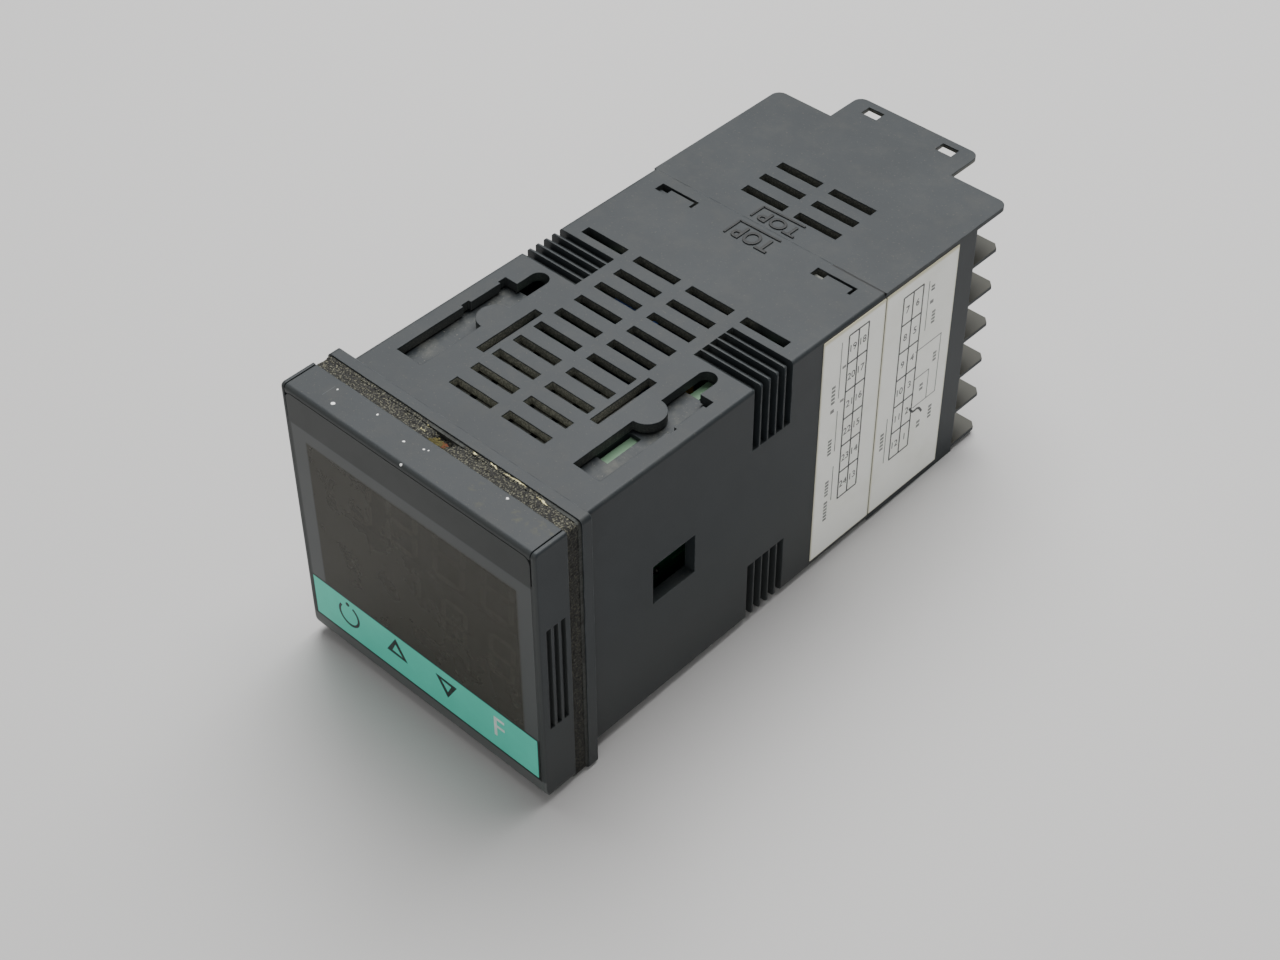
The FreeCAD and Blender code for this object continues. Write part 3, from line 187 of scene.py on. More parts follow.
def moulded_plastic(name, dark, light, rub_and_highlight, dust, veil=0.3, specks=0.3, rough=0.5):
    """Moulded plastic: uneven colour from dark to light, paler edges that are rubbed wear and partly a painted
    highlight, dust on top and a fine grain.
    """
    material, tree = new_material(name)
    grain = node(tree, "Group", node_tree=GRAIN).outputs
    edges = node(tree, "Group", node_tree=EDGES).outputs
    soil = node(tree, "Group", {"Veil": veil, "Specks": specks}, node_tree=DUST).outputs["Dust"]
    # The paler edges are rubbed wear and partly a painted highlight.
    worn_and_highlit = tint(edges["Rub"], tint(grain["Tone"], dark, light), rub_and_highlight)
    relief = (grain["Height"], 0.25, 0.05 * MM, edges["Normal"])
    return shade(material, tint(soil, worn_and_highlit, dust), (soil, 0.3, rough), relief, MATT_GLOSS)


def outer_plastic(name, dust=(98, 95, 86), veil=0.12, specks=0.3):
    """The dark grey plastic of the outer mouldings."""
    return moulded_plastic(name, (37, 42, 45), (42, 47, 50), PLASTIC_RUB_AND_HIGHLIGHT, dust, veil, specks)


def dress(material, *names):
    """Gives the CAD nodes of those names that material."""
    for name in names:
        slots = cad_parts[name].data.materials
        slots.clear()
        slots.append(material)


def overlay(material, mask, colour):
    """Lays a colour over a finished material where the mask is 1."""
    tree = material.node_tree
    base = tree.nodes["Principled BSDF"].inputs["Base Color"]
    tree.links.new(tint(mask, base.links[0].from_socket, colour), base)


def coordinates(tree):
    """The Object coordinates x, y and z as three sockets."""
    return node(tree, "SeparateXYZ", {0: node(tree, "TexCoord").outputs["Object"]}).outputs


FIELD_INPUTS = ("Across", "Upward", "Left", "Bottom", "Right", "Top", "Soft")


def rectangle_field():
    """A rectangle in two coordinates: 1 inside, 0 outside, with the same soft band on all sides."""
    group, given, out = new_group("rectangle_field", dict.fromkeys(FIELD_INPUTS, 0.0), {"Field": "Float"})
    steps = []
    for coordinate, low, high in (("Across", "Left", "Right"), ("Upward", "Bottom", "Top")):
        for first, second in ((given[coordinate], given[low]), (given[high], given[coordinate])):
            distance = reckon("SUBTRACT", first, second)
            steps.append(ramp(reckon("DIVIDE", distance, given["Soft"]), -0.5, 0.5))
    feed(out, {"Field": product(*steps)})
    return group


FIELD = rectangle_field()


def field(across, upward, box, soft):
    """A mask that is 1 in the box (left, bottom, right, top), given in mm, of two coordinate sockets."""
    values = (across, upward, *(side * MM for side in (*box, soft)))
    return node(across.id_data, "Group", dict(zip(FIELD_INPUTS, values)), node_tree=FIELD).outputs["Field"]


FOOT_LIGHT_SPAN = (6.0 * MM, -22.0 * MM)


def faded_foot(material):
    """Painted light: pales a finished plastic towards its lower edge, standing in for the light that its lower sides
    catch from the floor.
    """
    foot = ramp(coordinates(material.node_tree)["Z"], *FOOT_LIGHT_SPAN)
    overlay(material, product(foot, 0.6), (66, 68, 67))


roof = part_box("rear_terminal_housing")[1].z


def caught_dust(tree, place, half):
    """Sandy grains on the walls just below the top, behind the flange and within half a width in mm of the
    middle, thickest near the front."""
    walls = field(place["X"], place["Z"], (-half, 18.5, half, roof / MM - 0.2), 0.3)
    sand = reckon("MULTIPLY_ADD", patches(tree, 4000.0, 0.45, 0.62), 0.5, 0.35)
    thick = reckon("MULTIPLY_ADD", ramp(place["Y"], 26.0 * MM, 11.0 * MM), 0.7, 0.4)
    behind = ramp(place["Y"], 1.0 * MM, 2.5 * MM)
    return product(walls, behind, sand, thick)


# Pale colour for rubbed edges and scratches; on the edges it is also a painted highlight.
PLASTIC_RUB_AND_HIGHLIGHT = (88, 93, 95)
SANDY_DUST = (164, 164, 149)
TEETH_FIELD = (11.2, 32.4, 23.0, 41.4)
SEAM_SHADOW_FIELD = (12.5, 61.1, 23.0, 62.4)
case_plastic = outer_plastic("case_plastic")
tree = case_plastic.node_tree
place = coordinates(tree)
beside = reckon("ABSOLUTE", place["X"])
teeth = field(beside, place["Y"], TEETH_FIELD, 0.4)
keyholes = ramp(beside, 12.0 * MM, 14.0 * MM)
cleaner = [reckon("MULTIPLY_ADD", part, -0.8, 1.0) for part in (teeth, keyholes)]
overlay(case_plastic, product(caught_dust(tree, place, 22.05), *cleaner), SANDY_DUST)
# Painted shadow: a near-black strip along the seam where the case meets the rear housing, where shade falls into the
# gap.
overlay(case_plastic, field(place["X"], place["Y"], SEAM_SHADOW_FIELD, 0.15), (12, 13, 14))
# Painted light: the case is paled towards its lower edge.
faded_foot(case_plastic)
dress(case_plastic, "case_shell")


# TOP marks
# The word TOP in raised letters, once on the case and once on the rear housing, each in an open frame.
# They are part of the mouldings, cut into the tools as fine grooves; their plastic is darker than the case's, as
# painted shade along the raised strokes.
def added(name, data):
    """A new object of the scene."""
    made = bpy.data.objects.new(name, data)
    bpy.context.scene.collection.objects.link(made)
    return made


def letters(words, height, width=None, bold=0.0):
    """Words in the built-in typeface as flat points and faces, in a box of that height, and of a width where
    one is given, round the origin."""
    curve = bpy.data.curves.new("letters", "FONT")
    curve.body = words
    curve.offset = bold
    curve.resolution_u = 4
    holder = added("letters", curve)
    shape = bpy.data.meshes.new_from_object(holder.evaluated_get(bpy.context.evaluated_depsgraph_get()))
    points = np.empty(3 * len(shape.vertices))
    shape.vertices.foreach_get("co", points)
    points = points.reshape(-1, 3)[:, :2]
    faces = [list(face.vertices) for face in shape.polygons]
    bpy.data.meshes.remove(shape)
    bpy.data.objects.remove(holder)
    bpy.data.curves.remove(curve)
    low, high = points.min(0), points.max(0)
    scale = height / (high[1] - low[1])
    stretch = width / (high[0] - low[0]) if width else scale
    return (points - (low + high) / 2) * (stretch, scale), faces


def aside(along, width):
    """Steps of half the width, square to each direction."""
    along = along / np.linalg.norm(along, axis=1, keepdims=True)
    return np.stack([-along[:, 1], along[:, 0]], 1) * width / 2


def bars(ends, width):
    """Straight strokes from rows (x0, y0, x1, y1): each a rectangle of that width along its line."""
    start, end = np.asarray(ends, float).reshape(-1, 2, 2).swapaxes(0, 1)
    step = aside(end - start, width)
    points = np.stack([start - step, end - step, end + step, start + step], 1)
    return points.reshape(-1, 2), np.arange(4 * len(ends)).reshape(-1, 4).tolist()


def moved(shape, across=0.0, upward=0.0):
    """A flat shape moved in its plane."""
    points, faces = shape
    return points + (across, upward), faces


def new_piece(name, points, faces, material, body, slot, smooth=False):
    """A mesh from points and faces already in place, riding on a body."""
    mesh = bpy.data.meshes.new(name)
    mesh.from_pydata(np.asarray(points).reshape(-1, 3).tolist(), [], [list(face) for face in faces])
    mesh.polygons.foreach_set("use_smooth", np.full(len(mesh.polygons), smooth))
    mesh.materials.append(material)
    piece = added(name, mesh)
    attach(piece, body)
    return piece


def flat_piece(name, shapes, origin, across, upward, thick, material, body, slot):
    """Flat shapes in mm laid on a plane: origin plus u times across plus v times upward, thickened outwards."""
    counts = np.cumsum([0] + [len(points) for points, _ in shapes])
    flat = np.concatenate([points for points, _ in shapes]) * MM
    faces = [[start + corner for corner in face] for start, (_, some) in zip(counts, shapes) for face in some]
    points = origin + flat[:, :1] * across + flat[:, 1:] * upward
    piece = new_piece(name, points, faces, material, body, slot)
    depth = piece.modifiers.new("depth", "SOLIDIFY")
    depth.thickness = thick
    depth.offset = 1.0
    return piece


TOP_MARK_RISE = 0.16 * MM
TOP_MARK_BOLD = 0.015
TOP_FRAME_LINE = 0.3
# Painted shade: the marks' plastic is darker than the case, standing in for the shade along the letters' edges.
mark_shade_plastic = moulded_plastic("mark_shade_plastic", (24, 26, 27), (29, 31, 32), (64, 66, 66), (80, 78, 70), 0.1)
for name, middle, size, shift, frame_lines in (
    ("top_mark_case", 58.35, (3.05, 6.9), (-0.25, 0.27), [(-3.6, -2.0, 4.0, -1.9), (4.0, -1.9, 4.0, 1.8)]),
    ("top_mark_housing", 63.55, (2.45, 7.2), (-0.75, 0.28), [(-4.05, -1.8, 3.7, -1.6), (3.7, -1.6, 3.7, 1.4)]),
):
    mark = [moved(letters("TOP", *size, TOP_MARK_BOLD), *shift), bars(frame_lines, TOP_FRAME_LINE)]
    origin = (0.0, middle * MM, roof)
    flat_piece(name, mark, origin, (-1, 0, 0), (0, -1, 0), TOP_MARK_RISE, mark_shade_plastic, "case", "case_plastic")


# Rear terminal housing
# The plug-on rear moulding with the terminal wall, the barriers between the rows and the tab for a cable tie.
# Same plastic as the case; its open barriers have gathered an olive dust.
housing_plastic = outer_plastic("housing_plastic")
tree = housing_plastic.node_tree
place = coordinates(tree)
barriers = field(place["Y"], place["Z"], (82.0, -23.0, 99.0, 16.0), 1.5)
barrier_dust = product(barriers, ramp(facing(tree, "Z"), 0.3, 0.9), 0.55)
overlay(housing_plastic, barrier_dust, (92, 90, 78))
overlay(housing_plastic, caught_dust(tree, place, 15.0), SANDY_DUST)
dress(housing_plastic, "rear_terminal_housing")


# Board sockets
# Two grooved blocks on the inside of the terminal wall that grip the boards' rear edges.
# Black glass-filled plastic with sprung contacts, pressed into the housing.
socket_plastic = moulded_plastic(
    "socket_plastic", (24, 24, 25), (32, 32, 33), (60, 60, 60), (80, 78, 70), rough=0.42
)
dress(socket_plastic, "board_sockets")


# Terminal clamps
# A bent saddle under every screw that holds the wire end against the wall.
# Nickel-plated steel pressings, a little dull and spotted.
def plated_metal(name, bright, dull, rough):
    """Plated steel: brushed streaks in the roughness and broad dull patches in the colour."""
    material, tree = new_material(name)
    streaks = noise(tree, 1.0, stretch=(9000.0, 1500.0, 500.0))
    dulled = patches(tree, 400.0, 0.4, 0.7, 5.0)
    metal = tint(dulled, bright, dull)
    return shade(material, metal, (streaks, 0.25, rough), (streaks, 0.2, 0.02 * MM), Metallic=1.0)


dress(plated_metal("clamp_nickel", (196, 192, 182), (150, 146, 134), 0.3), "terminal_clamps")


# Terminal screws
# Slotted cheese-head screws, one through every clamp into the nut behind the terminal wall.
# Turned steel with a dull zinc plating.
HEAD_RADIUS = 2.1 * MM
HEAD_HEIGHT = 1.4 * MM
HEAD_CROWN = 0.25 * MM
SLOT_WIDTH = 0.7 * MM
SLOT_DEPTH = 0.8 * MM


def grid_faces(rows, columns, wrap_rows=False, wrap_columns=False):
    """Quads over points numbered row by row; a wrapped side joins its last line of points to its first."""
    row = np.arange(rows if wrap_rows else rows - 1)[:, None]
    column = np.arange(columns if wrap_columns else columns - 1)[None, :]
    below, beside = (row + 1) % rows * columns, (column + 1) % columns
    row = row * columns
    return np.stack([row + column, row + beside, below + beside, below + column], -1).reshape(-1, 4)


def repeated(points, faces, places, sizes=1.0):
    """One form put at many places: its points, times a size, and its faces once for each place."""
    many = np.asarray(places)[:, None, :] + np.reshape(sizes, (-1, 1, 1)) * points.reshape(1, -1, 3)
    step = np.arange(len(places))[:, None, None] * (points.size // 3)
    return many.reshape(-1, 3), (np.asarray(faces)[None] + step).reshape(-1, np.shape(faces)[1])


def slotted_head():
    """A round head seen from the rear. Rows cross the slot from rim to rim, two at each wall of the slot,
    and the points of a row spread over the circle's chord. The face crowns towards the middle, sinks by the
    slot's depth between its walls, and the first and last point of each row drop to the head's base."""
    wall = SLOT_WIDTH / 2
    outer = HEAD_RADIUS * np.cos(np.linspace(0, math.acos(wall / HEAD_RADIUS), 10))
    rise = np.concatenate([outer, [wall, 0.0, -wall], -outer[::-1]])
    sunk = np.concatenate([np.zeros(10), np.ones(3), np.zeros(10)])
    spread = np.concatenate([[-1.0], np.linspace(-1, 1, 13), [1.0]])
    across = np.sqrt(np.maximum(HEAD_RADIUS**2 - rise**2, 0))[:, None] * spread
    upward = np.repeat(rise[:, None], len(spread), 1)
    crown = HEAD_CROWN * (1 - (across**2 + upward**2) / HEAD_RADIUS**2)
    depth = HEAD_HEIGHT - HEAD_CROWN + crown - SLOT_DEPTH * sunk[:, None]
    depth[:, [0, -1]] = 0.0
    return np.stack([across, depth, upward], -1), grid_faces(len(rise), len(spread))


def lattice(surface, along, upward):
    """Every pairing of two rows of values in mm, as points (surface, along, upward)."""
    along, upward = (grid.ravel() for grid in np.meshgrid(along, upward))
    return np.stack([np.full(along.shape, surface / MM), along, upward], 1) * MM


screw_low, screw_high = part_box("terminal_screws")
columns = np.linspace(screw_low.x + HEAD_RADIUS, screw_high.x - HEAD_RADIUS, 4)
rows = np.linspace(screw_low.z + HEAD_RADIUS, screw_high.z - HEAD_RADIUS, 6)
head_places = lattice(screw_high.y - HEAD_HEIGHT, columns / MM, rows / MM)[:, [1, 0, 2]]
screw_zinc = plated_metal("screw_zinc", (182, 182, 178), (128, 126, 118), 0.36)
heads = repeated(*slotted_head(), head_places)
screws = new_piece("screw_heads", *heads, screw_zinc, "case", "screw_steel")
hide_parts("terminal_screws")


# Side label
# A paper label in two pieces, one on the case and one on the rear housing, cut along the seam between them.
# Off-white coated paper, yellowed at the cut edges and lightly creased; the print is thin grey ink.
def label_paper(piece):
    """Coated paper: faint fibres, a few soft creases, and a yellow stain that grows towards the cut edges."""
    material, tree = new_material(piece + "_paper")
    low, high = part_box(piece)
    _, along, upward = coordinates(tree)
    middle = (low.y / MM + 0.1, low.z / MM + 0.1, high.y / MM - 0.1, high.z / MM - 0.5)
    clean = field(along, upward, middle, 0.7)
    fibres = noise(tree, 900.0, 4.0, stretch=(1.0, 1.0, 0.4))
    blotches = patches(tree, 130.0, 0.45, 0.75, 4.0)
    body = tint(blotches, (250, 251, 245), (243, 244, 236))
    stained = tint(clean, (214, 209, 180), body)
    creases = ramp(noise(tree, 60.0, 1.0, stretch=(1.0, 2.5, 0.5)), 0.49, 0.51)
    height = reckon("MULTIPLY_ADD", fibres, 0.15, creases)
    return shade(material, stained, (fibres, 0.2, 0.4), (height, 0.35, 0.06 * MM))


for piece in ("side_label_front", "side_label_rear"):
    dress(label_paper(piece), piece)


def grey_ink(name, strong, weak):
    """Printed ink that is thin in places: it varies between a strong and a weak colour."""
    material, tree = new_material(name)
    thin = patches(tree, 700.0, 0.35, 0.65, 4.0)
    return shade(material, tint(thin, strong, weak), (thin, 0.2, 0.4))


label_ink = grey_ink("label_ink", (46, 48, 49), (78, 81, 80))
faint_ink = grey_ink("faint_ink", (104, 106, 104), (140, 142, 138))
PRINT_RISE = 0.02 * MM
TABLE_LINE = 0.27
NUMBER_HEIGHT = 1.25
DASH_PITCH = 0.7
DASH_SHARE = 0.62
DASH_HEIGHT = 0.8
RULE_LINE = 0.16
label_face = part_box("side_label_front")[1].x


def terminal_table(left, right, bottom, top, first_column, second_column):
    """Two columns of six numbered boxes: the ruled lines as strokes, and a number in the middle of each box."""
    across = np.linspace(left, right, 3)
    upward = np.linspace(top, bottom, 7)
    upright = np.stack([across, np.full(3, bottom), across, np.full(3, top)], 1)
    level = np.stack([np.full(7, left), upward, np.full(7, right), upward], 1)
    shapes = [bars(np.concatenate([upright, level]), TABLE_LINE)]
    for column, numbers in enumerate((first_column, second_column)):
        for row, number in enumerate(numbers):
            place = across[column : column + 2].mean(), upward[row : row + 2].mean()
            shapes.append(moved(letters(str(number), NUMBER_HEIGHT), *place))
    return shapes


def small_print(lines):
    """Upright lines of small words (x, top, bottom) as short dashes across each, at nearly one pitch."""
    rows = []
    for x, top, bottom in lines:
        count = max(round((top - bottom) / DASH_PITCH), 1)
        step = (bottom - top) / count
        first = top + step * np.arange(count)
        rows.append(np.stack([np.full(count, x), first, np.full(count, x), first + step * DASH_SHARE], 1))
    return bars(np.concatenate(rows), DASH_HEIGHT)


def print_on_label(name, shapes, ink):
    """Print on the right-hand side, in mm of the frame: y to the right and z up."""
    flat_piece(name, shapes, (label_face, 0, 0), (0, 1, 0), (0, 0, 1), PRINT_RISE, ink, "case", "label_paper")


front_table = terminal_table(53.2, 57.6, -11.8, 19.6, range(19, 25), range(18, 12, -1))
rear_table = terminal_table(65.6, 70.2, -12.45, 18.9, range(7, 13), range(6, 0, -1))
print_on_label("label_table_front", front_table, label_ink)
print_on_label("label_table_rear", rear_table, label_ink)
front_rules = [(51.65, 19.3, 51.65, 9.0), (51.65, 6.6, 51.65, -1.2), (51.65, -4.2, 51.65, -11.0)]
front_words = [(50.4, 12.0, 8.4), (50.4, 7.6, 6.6), (50.4, 1.8, -1.4), (50.4, -6.4, -9.6), (50.4, -10.6, -14.6)]
front_words += [(52.5, 14.6, 13.9), (52.5, 8.3, 7.6)]
print_on_label("label_rules_front", [bars(front_rules, RULE_LINE), small_print(front_words)], faint_ink)
rear_rules = [(69.8, 6.3, 76.1, 6.3), (76.0, 6.4, 76.0, -5.1), (70.5, -5.1, 76.0, -5.1), (70.3, 0.65, 73.8, 0.65)]
rear_rules += [(73.8, 0.65, 73.8, -5.1), (64.25, -3.2, 64.25, -12.2), (71.6, 18.6, 71.6, 9.4)]
rear_words = [(72.6, 17.4, 16.2), (72.6, 14.6, 13.6), (73.4, 12.2, 9.6), (63.3, -5.6, -9.2), (74.9, 3.4, 1.4)]
rear_words += [(72.2, -1.2, -2.8), (72.4, -8.8, -10.4), (75.2, -7.4, -10.2)]
print_on_label("label_rules_rear", [bars(rear_rules, RULE_LINE), small_print(rear_words)], faint_ink)


def ribbon(points, width):
    """A stroke along a curve: each point goes half the width to either side, square to the curve."""
    step = aside(np.gradient(points, axis=0), width)
    both = np.stack([points + step, points - step], 1)
    return both.reshape(-1, 2), grid_faces(len(points), 2).tolist()


SWITCH_LINE = 0.42
bend = np.linspace(0, 1, 13)
switch_stroke = np.stack([69.7 + 3.3 * bend, -4.65 - 2.65 * bend - 0.5 * np.sin(2 * math.pi * bend)], 1)
print_on_label("label_switch_stroke", [ribbon(switch_stroke, SWITCH_LINE)], label_ink)


# Board carrier
# The inner frame clipped behind the bezel, whose plates and wings hold the boards and show through the slots.
# Moulded in the same dark grey plastic, under the dust that has come in through the slots; its pale dust and the
# paler coat on the plate's top are partly painted light, so that the plate looks lit deep in the slots.
PLATE_FIELD = (-1.0, 1.0, 13.0, 23.5)
# Strong pale dust: real dust, and partly painted light on the shaded plate.
carrier_plastic = outer_plastic("carrier_plastic", (112, 112, 104), 0.5, 0.7)
tree = carrier_plastic.node_tree
place = coordinates(tree)
# Painted light mixed with dust: the plate's upward faces are paled so that they look lit in the slots.
plate = field(reckon("ABSOLUTE", place["X"]), place["Y"], PLATE_FIELD, 0.6)
uneven = reckon("MULTIPLY_ADD", patches(tree, 3000.0, 0.4, 0.65), 0.35, 0.6)
lying_dust_and_light = product(plate, ramp(facing(tree, "Z"), 0.3, 0.9), uneven)
overlay(carrier_plastic, lying_dust_and_light, (108, 109, 102))
dress(carrier_plastic, "board_carrier")


# Circuit boards
# The display board behind the front and the two long boards along the case, which plug into the rear sockets.
# Glass laminate with copper lanes under a green lacquer, and gilt contacts along the rear edges.
LANE_PITCH = 1.27 * MM
CONTACT_PITCH = 2.0 * MM


def stripes(value, pitch):
    """Lines at a pitch along a value: 0 on each line, 0.5 half way between two."""
    return reckon("PINGPONG", reckon("DIVIDE", value, pitch), 0.5)


def circuit_laminate(name, through, contacts=None):
    """Lacquered laminate: level lanes at one pitch that start and stop with a stretched noise, bare fibre where
    the face is a cut edge, and gilt contacts at a second pitch inside a box, where one is given."""
    material, tree = new_material(name)
    place = coordinates(tree)
    runs = ramp(noise(tree, 1.0, 1.0, stretch=(150.0, 150.0, 790.0)), 0.5, 0.52)
    lanes = product(ramp(stripes(place["Z"], LANE_PITCH), 0.3, 0.36), runs)
    lacquer = tint(lanes, (34, 92, 62), (62, 128, 88))
    cut = ramp(reckon("ABSOLUTE", facing(tree, through)), 0.7, 0.4)
    colour, gilt = tint(cut, lacquer, (112, 142, 116)), 0.0
    if contacts:
        teeth = ramp(stripes(place["Z"], CONTACT_PITCH), 0.16, 0.2)
        gilt = product(teeth, field(place["Y"], place["Z"], contacts, 0.1))
        colour = tint(gilt, colour, (212, 170, 84))
    return shade(material, colour, (noise(tree, 500.0), 0.2, 0.22), (lanes, 0.4, 0.04 * MM), Metallic=gilt)


long_laminate = circuit_laminate("long_laminate", "X", contacts=(68.0, -18.5, 73.7, 18.5))
dress(long_laminate, "main_board", "power_board")
dress(circuit_laminate("display_laminate", "Y"), "display_board")
dress(socket_plastic, "board_headers")


# Solder joints and small parts
# The joints on the backs of the two long boards, and rows of chip resistors on their part sides.
# Bright tin solder with a smooth meniscus; fired ceramic blocks with tinned ends.
def turned(profile, segments, toward=1.0):
    """A profile of heights and radii turned about the X axis; toward -1 turns the whole form to face -X."""
    height, radius = np.asarray(profile, float).T[:, :, None]
    angle = np.linspace(0, 2 * math.pi, segments, endpoint=False)[None, :]
    flat = np.ones_like(angle)
    points = [toward * height * flat, radius * np.cos(angle), toward * radius * np.sin(angle)]
    return np.stack(points, -1), grid_faces(len(profile), segments, wrap_columns=True)


def block(half_along, half_up, height, ease):
    """A low block on a board: its outline at the base and near the top, then drawn in by the ease and closed."""
    corner = np.array([(1, 1), (-1, 1), (-1, -1), (1, -1)], float)
    half = np.array([(half_along, half_up)] * 2 + [(half_along - ease, half_up - ease)] + [(0.0, 0.0)])
    level = np.array([0.0, height - ease, height, height])[:, None, None] * np.ones((1, 4, 1))
    return np.concatenate([level, half[:, None, :] * corner], -1), grid_faces(4, 4, wrap_columns=True)


def mottled(name, first, second, fineness, rough, **others):
    """Two colours mixed by a fine noise, which also sets the roughness, given as its share and the least."""
    material, tree = new_material(name)
    cloud = noise(tree, fineness)
    return shade(material, tint(cloud, first, second), (cloud, *rough), **others)


def on_board(name, form, places, material, slot, smooth=False):
    """One form at many places on the boards."""
    new_piece(name, *repeated(*form, places), material, "front_unit", slot, smooth)


solder = mottled("tin_solder", (206, 206, 202), (166, 166, 160), 900.0, (0.3, 0.12), Metallic=1.0)
ceramic = mottled("resistor_ceramic", (26, 26, 30), (44, 44, 50), 1500.0, (0.2, 0.25))
main_low, main_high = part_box("main_board")
power_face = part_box("power_board")[1].x
meniscus = np.array([(0.0, 0.75), (0.06, 0.55), (0.22, 0.36), (0.42, 0.27), (0.46, 0.0)]) * MM
pin_rows = np.arange(-15.0, 15.1, 2.5)
main_pins = [
    lattice(main_low.x, [42.0, 45.8, 53.4, 58.0], [-11.5, -3.6, 3.6, 11.5]),
    lattice(main_low.x, np.arange(30.0, 37.0, 1.8), pin_rows),
]
power_pins = [
    lattice(power_face, [43.5, 58.5], np.arange(-8.0, 8.1, 4.0)),
    lattice(power_face, [15.5, 20.5], [-7.0, 7.0]),
    lattice(power_face, np.arange(63.0, 67.0, 1.8), pin_rows),
]
for name, toward, pins in (("main_board_joints", -1.0, main_pins), ("power_board_joints", 1.0, power_pins)):
    on_board(name, turned(meniscus, 8, toward), np.concatenate(pins), solder, "clamp_metal", True)
resistor_rows = [
    lattice(main_high.x, np.arange(64.0, 67.1, 1.5), np.arange(-16.0, 16.1, 4.0)),
    lattice(main_high.x, np.arange(27.5, 38.1, 2.1), [-16.5, -13.5, 13.5, 16.5]),
]
resistor_places = np.concatenate(resistor_rows)
end_step = np.array([0, 0, 0.85 * MM])
resistor_ends = np.concatenate([resistor_places + end_step, resistor_places - end_step])
resistor = block(0.5 * MM, 0.8 * MM, 0.5 * MM, 0.06 * MM)
tinned_end = block(0.52 * MM, 0.22 * MM, 0.54 * MM, 0.08 * MM)
on_board("chip_resistors", resistor, resistor_places, ceramic, "chip_plastic")
on_board("chip_resistor_ends", tinned_end, resistor_ends, solder, "clamp_metal")


# Processor
# The flat many-legged chip on the main board.
# Black filled resin, with tinned legs bent down to the board along its two long sides.
dress(moulded_plastic("chip_resin", (22, 22, 23), (30, 30, 31), (52, 52, 52), (70, 68, 62), 0.1), "processor_chip")
chip_low, chip_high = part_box("processor_chip")
leg_along = np.linspace(chip_low.y / MM + 0.8, chip_high.y / MM - 0.8, 16)
leg_places = lattice(chip_low.x, leg_along, [chip_low.z / MM - 0.5, chip_high.z / MM + 0.5])
leg = block(0.2 * MM, 0.6 * MM, 0.9 * MM, 0.18 * MM)
on_board("processor_legs", leg, leg_places, solder, "clamp_metal")


# Relays
# Sealed output relays in a row on the main board.
# Moulded blue covers stuck over dark bases, scuffed and with softened edges.
relay_cover, tree = new_material("relay_cover")
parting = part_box("output_relays")[0].x + 1.6 * MM
above = ramp(coordinates(tree)["X"], parting - 0.05 * MM, parting + 0.05 * MM)
scuffs = patches(tree, 260.0, 0.5, 0.8, 5.0)
edges = node(tree, "Group", {"Radius": 0.3 * MM}, node_tree=EDGES).outputs
cover = tint(above, (26, 30, 40), (34, 62, 116))
dress(shade(relay_cover, cover, (scuffs, 0.25, 0.28), Normal=edges["Normal"]), "output_relays")


# Transformer
# A small mains transformer on the power board.
# Pressed iron sheets stacked through a wound bobbin, which is wrapped in yellow polyester tape.
SHEET_PITCH = 0.5 * MM
core_iron, tree = new_material("core_iron")
sheets = ramp(stripes(coordinates(tree)["X"], SHEET_PITCH), 0.02, 0.16)
rust = patches(tree, 300.0, 0.5, 0.75, 5.0)
iron = tint(rust, (92, 90, 88), (98, 78, 60))
dress(shade(core_iron, iron, (rust, 0.3, 0.4), (sheets, 0.7, 0.1 * MM), Metallic=0.6), "transformer_core")

coil_tape, tree = new_material("coil_tape")
layers = noise(tree, 1.0, 2.0, stretch=(60.0, 60.0, 700.0))
yellow = tint(layers, (206, 164, 40), (160, 116, 24))
dress(shade(coil_tape, yellow, (layers, 0.2, 0.15), (layers, 0.5, 0.2 * MM)), "transformer_coil")


# Supply capacitors
# Two upright cans that smooth the supply, standing on the power board.
# Aluminium with a shrunk dark sleeve; a pale stripe on the sleeve marks one lead, and the can's end is bare.
MARK_PITCH = 2.4 * MM
SLEEVE_BLUE = (28, 34, 58)
sleeve, tree = new_material("capacitor_sleeve")
can_low, can_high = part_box("supply_capacitors")
place = coordinates(tree)
middle = (can_low.y + can_high.y) / 2 / MM
stripe = field(place["Y"], place["X"], (middle - 1.2, 3.4, middle + 1.2, 14.4), 0.1)
dash = ramp(stripes(place["X"], MARK_PITCH), 0.3, 0.34)
outward = ramp(reckon("ABSOLUTE", place["Z"]), 9.0 * MM, 9.4 * MM)
printed = tint(dash, (150, 156, 166), SLEEVE_BLUE)
marked = tint(product(stripe, outward), SLEEVE_BLUE, printed)
bare = ramp(place["X"], can_low.x + 0.25 * MM, can_low.x + 0.15 * MM)
can = tint(bare, marked, (190, 190, 188))
dress(shade(sleeve, can, (noise(tree, 500.0, 4.0), 0.2, 0.2), Metallic=bare), "supply_capacitors")


# Digit displays
# Two four-figure display blocks soldered to the display board.
# Dark resin blocks with a matt face, in which the unlit bars of each figure are just paler.
FIGURE_PITCH = 9.2
FIGURE_LEAN = 0.1
digit_resin = moulded_plastic("digit_resin", (40, 38, 37), (46, 44, 43), (70, 68, 66), (90, 86, 80), 0.1)
dress(digit_resin, "upper_display", "lower_display")


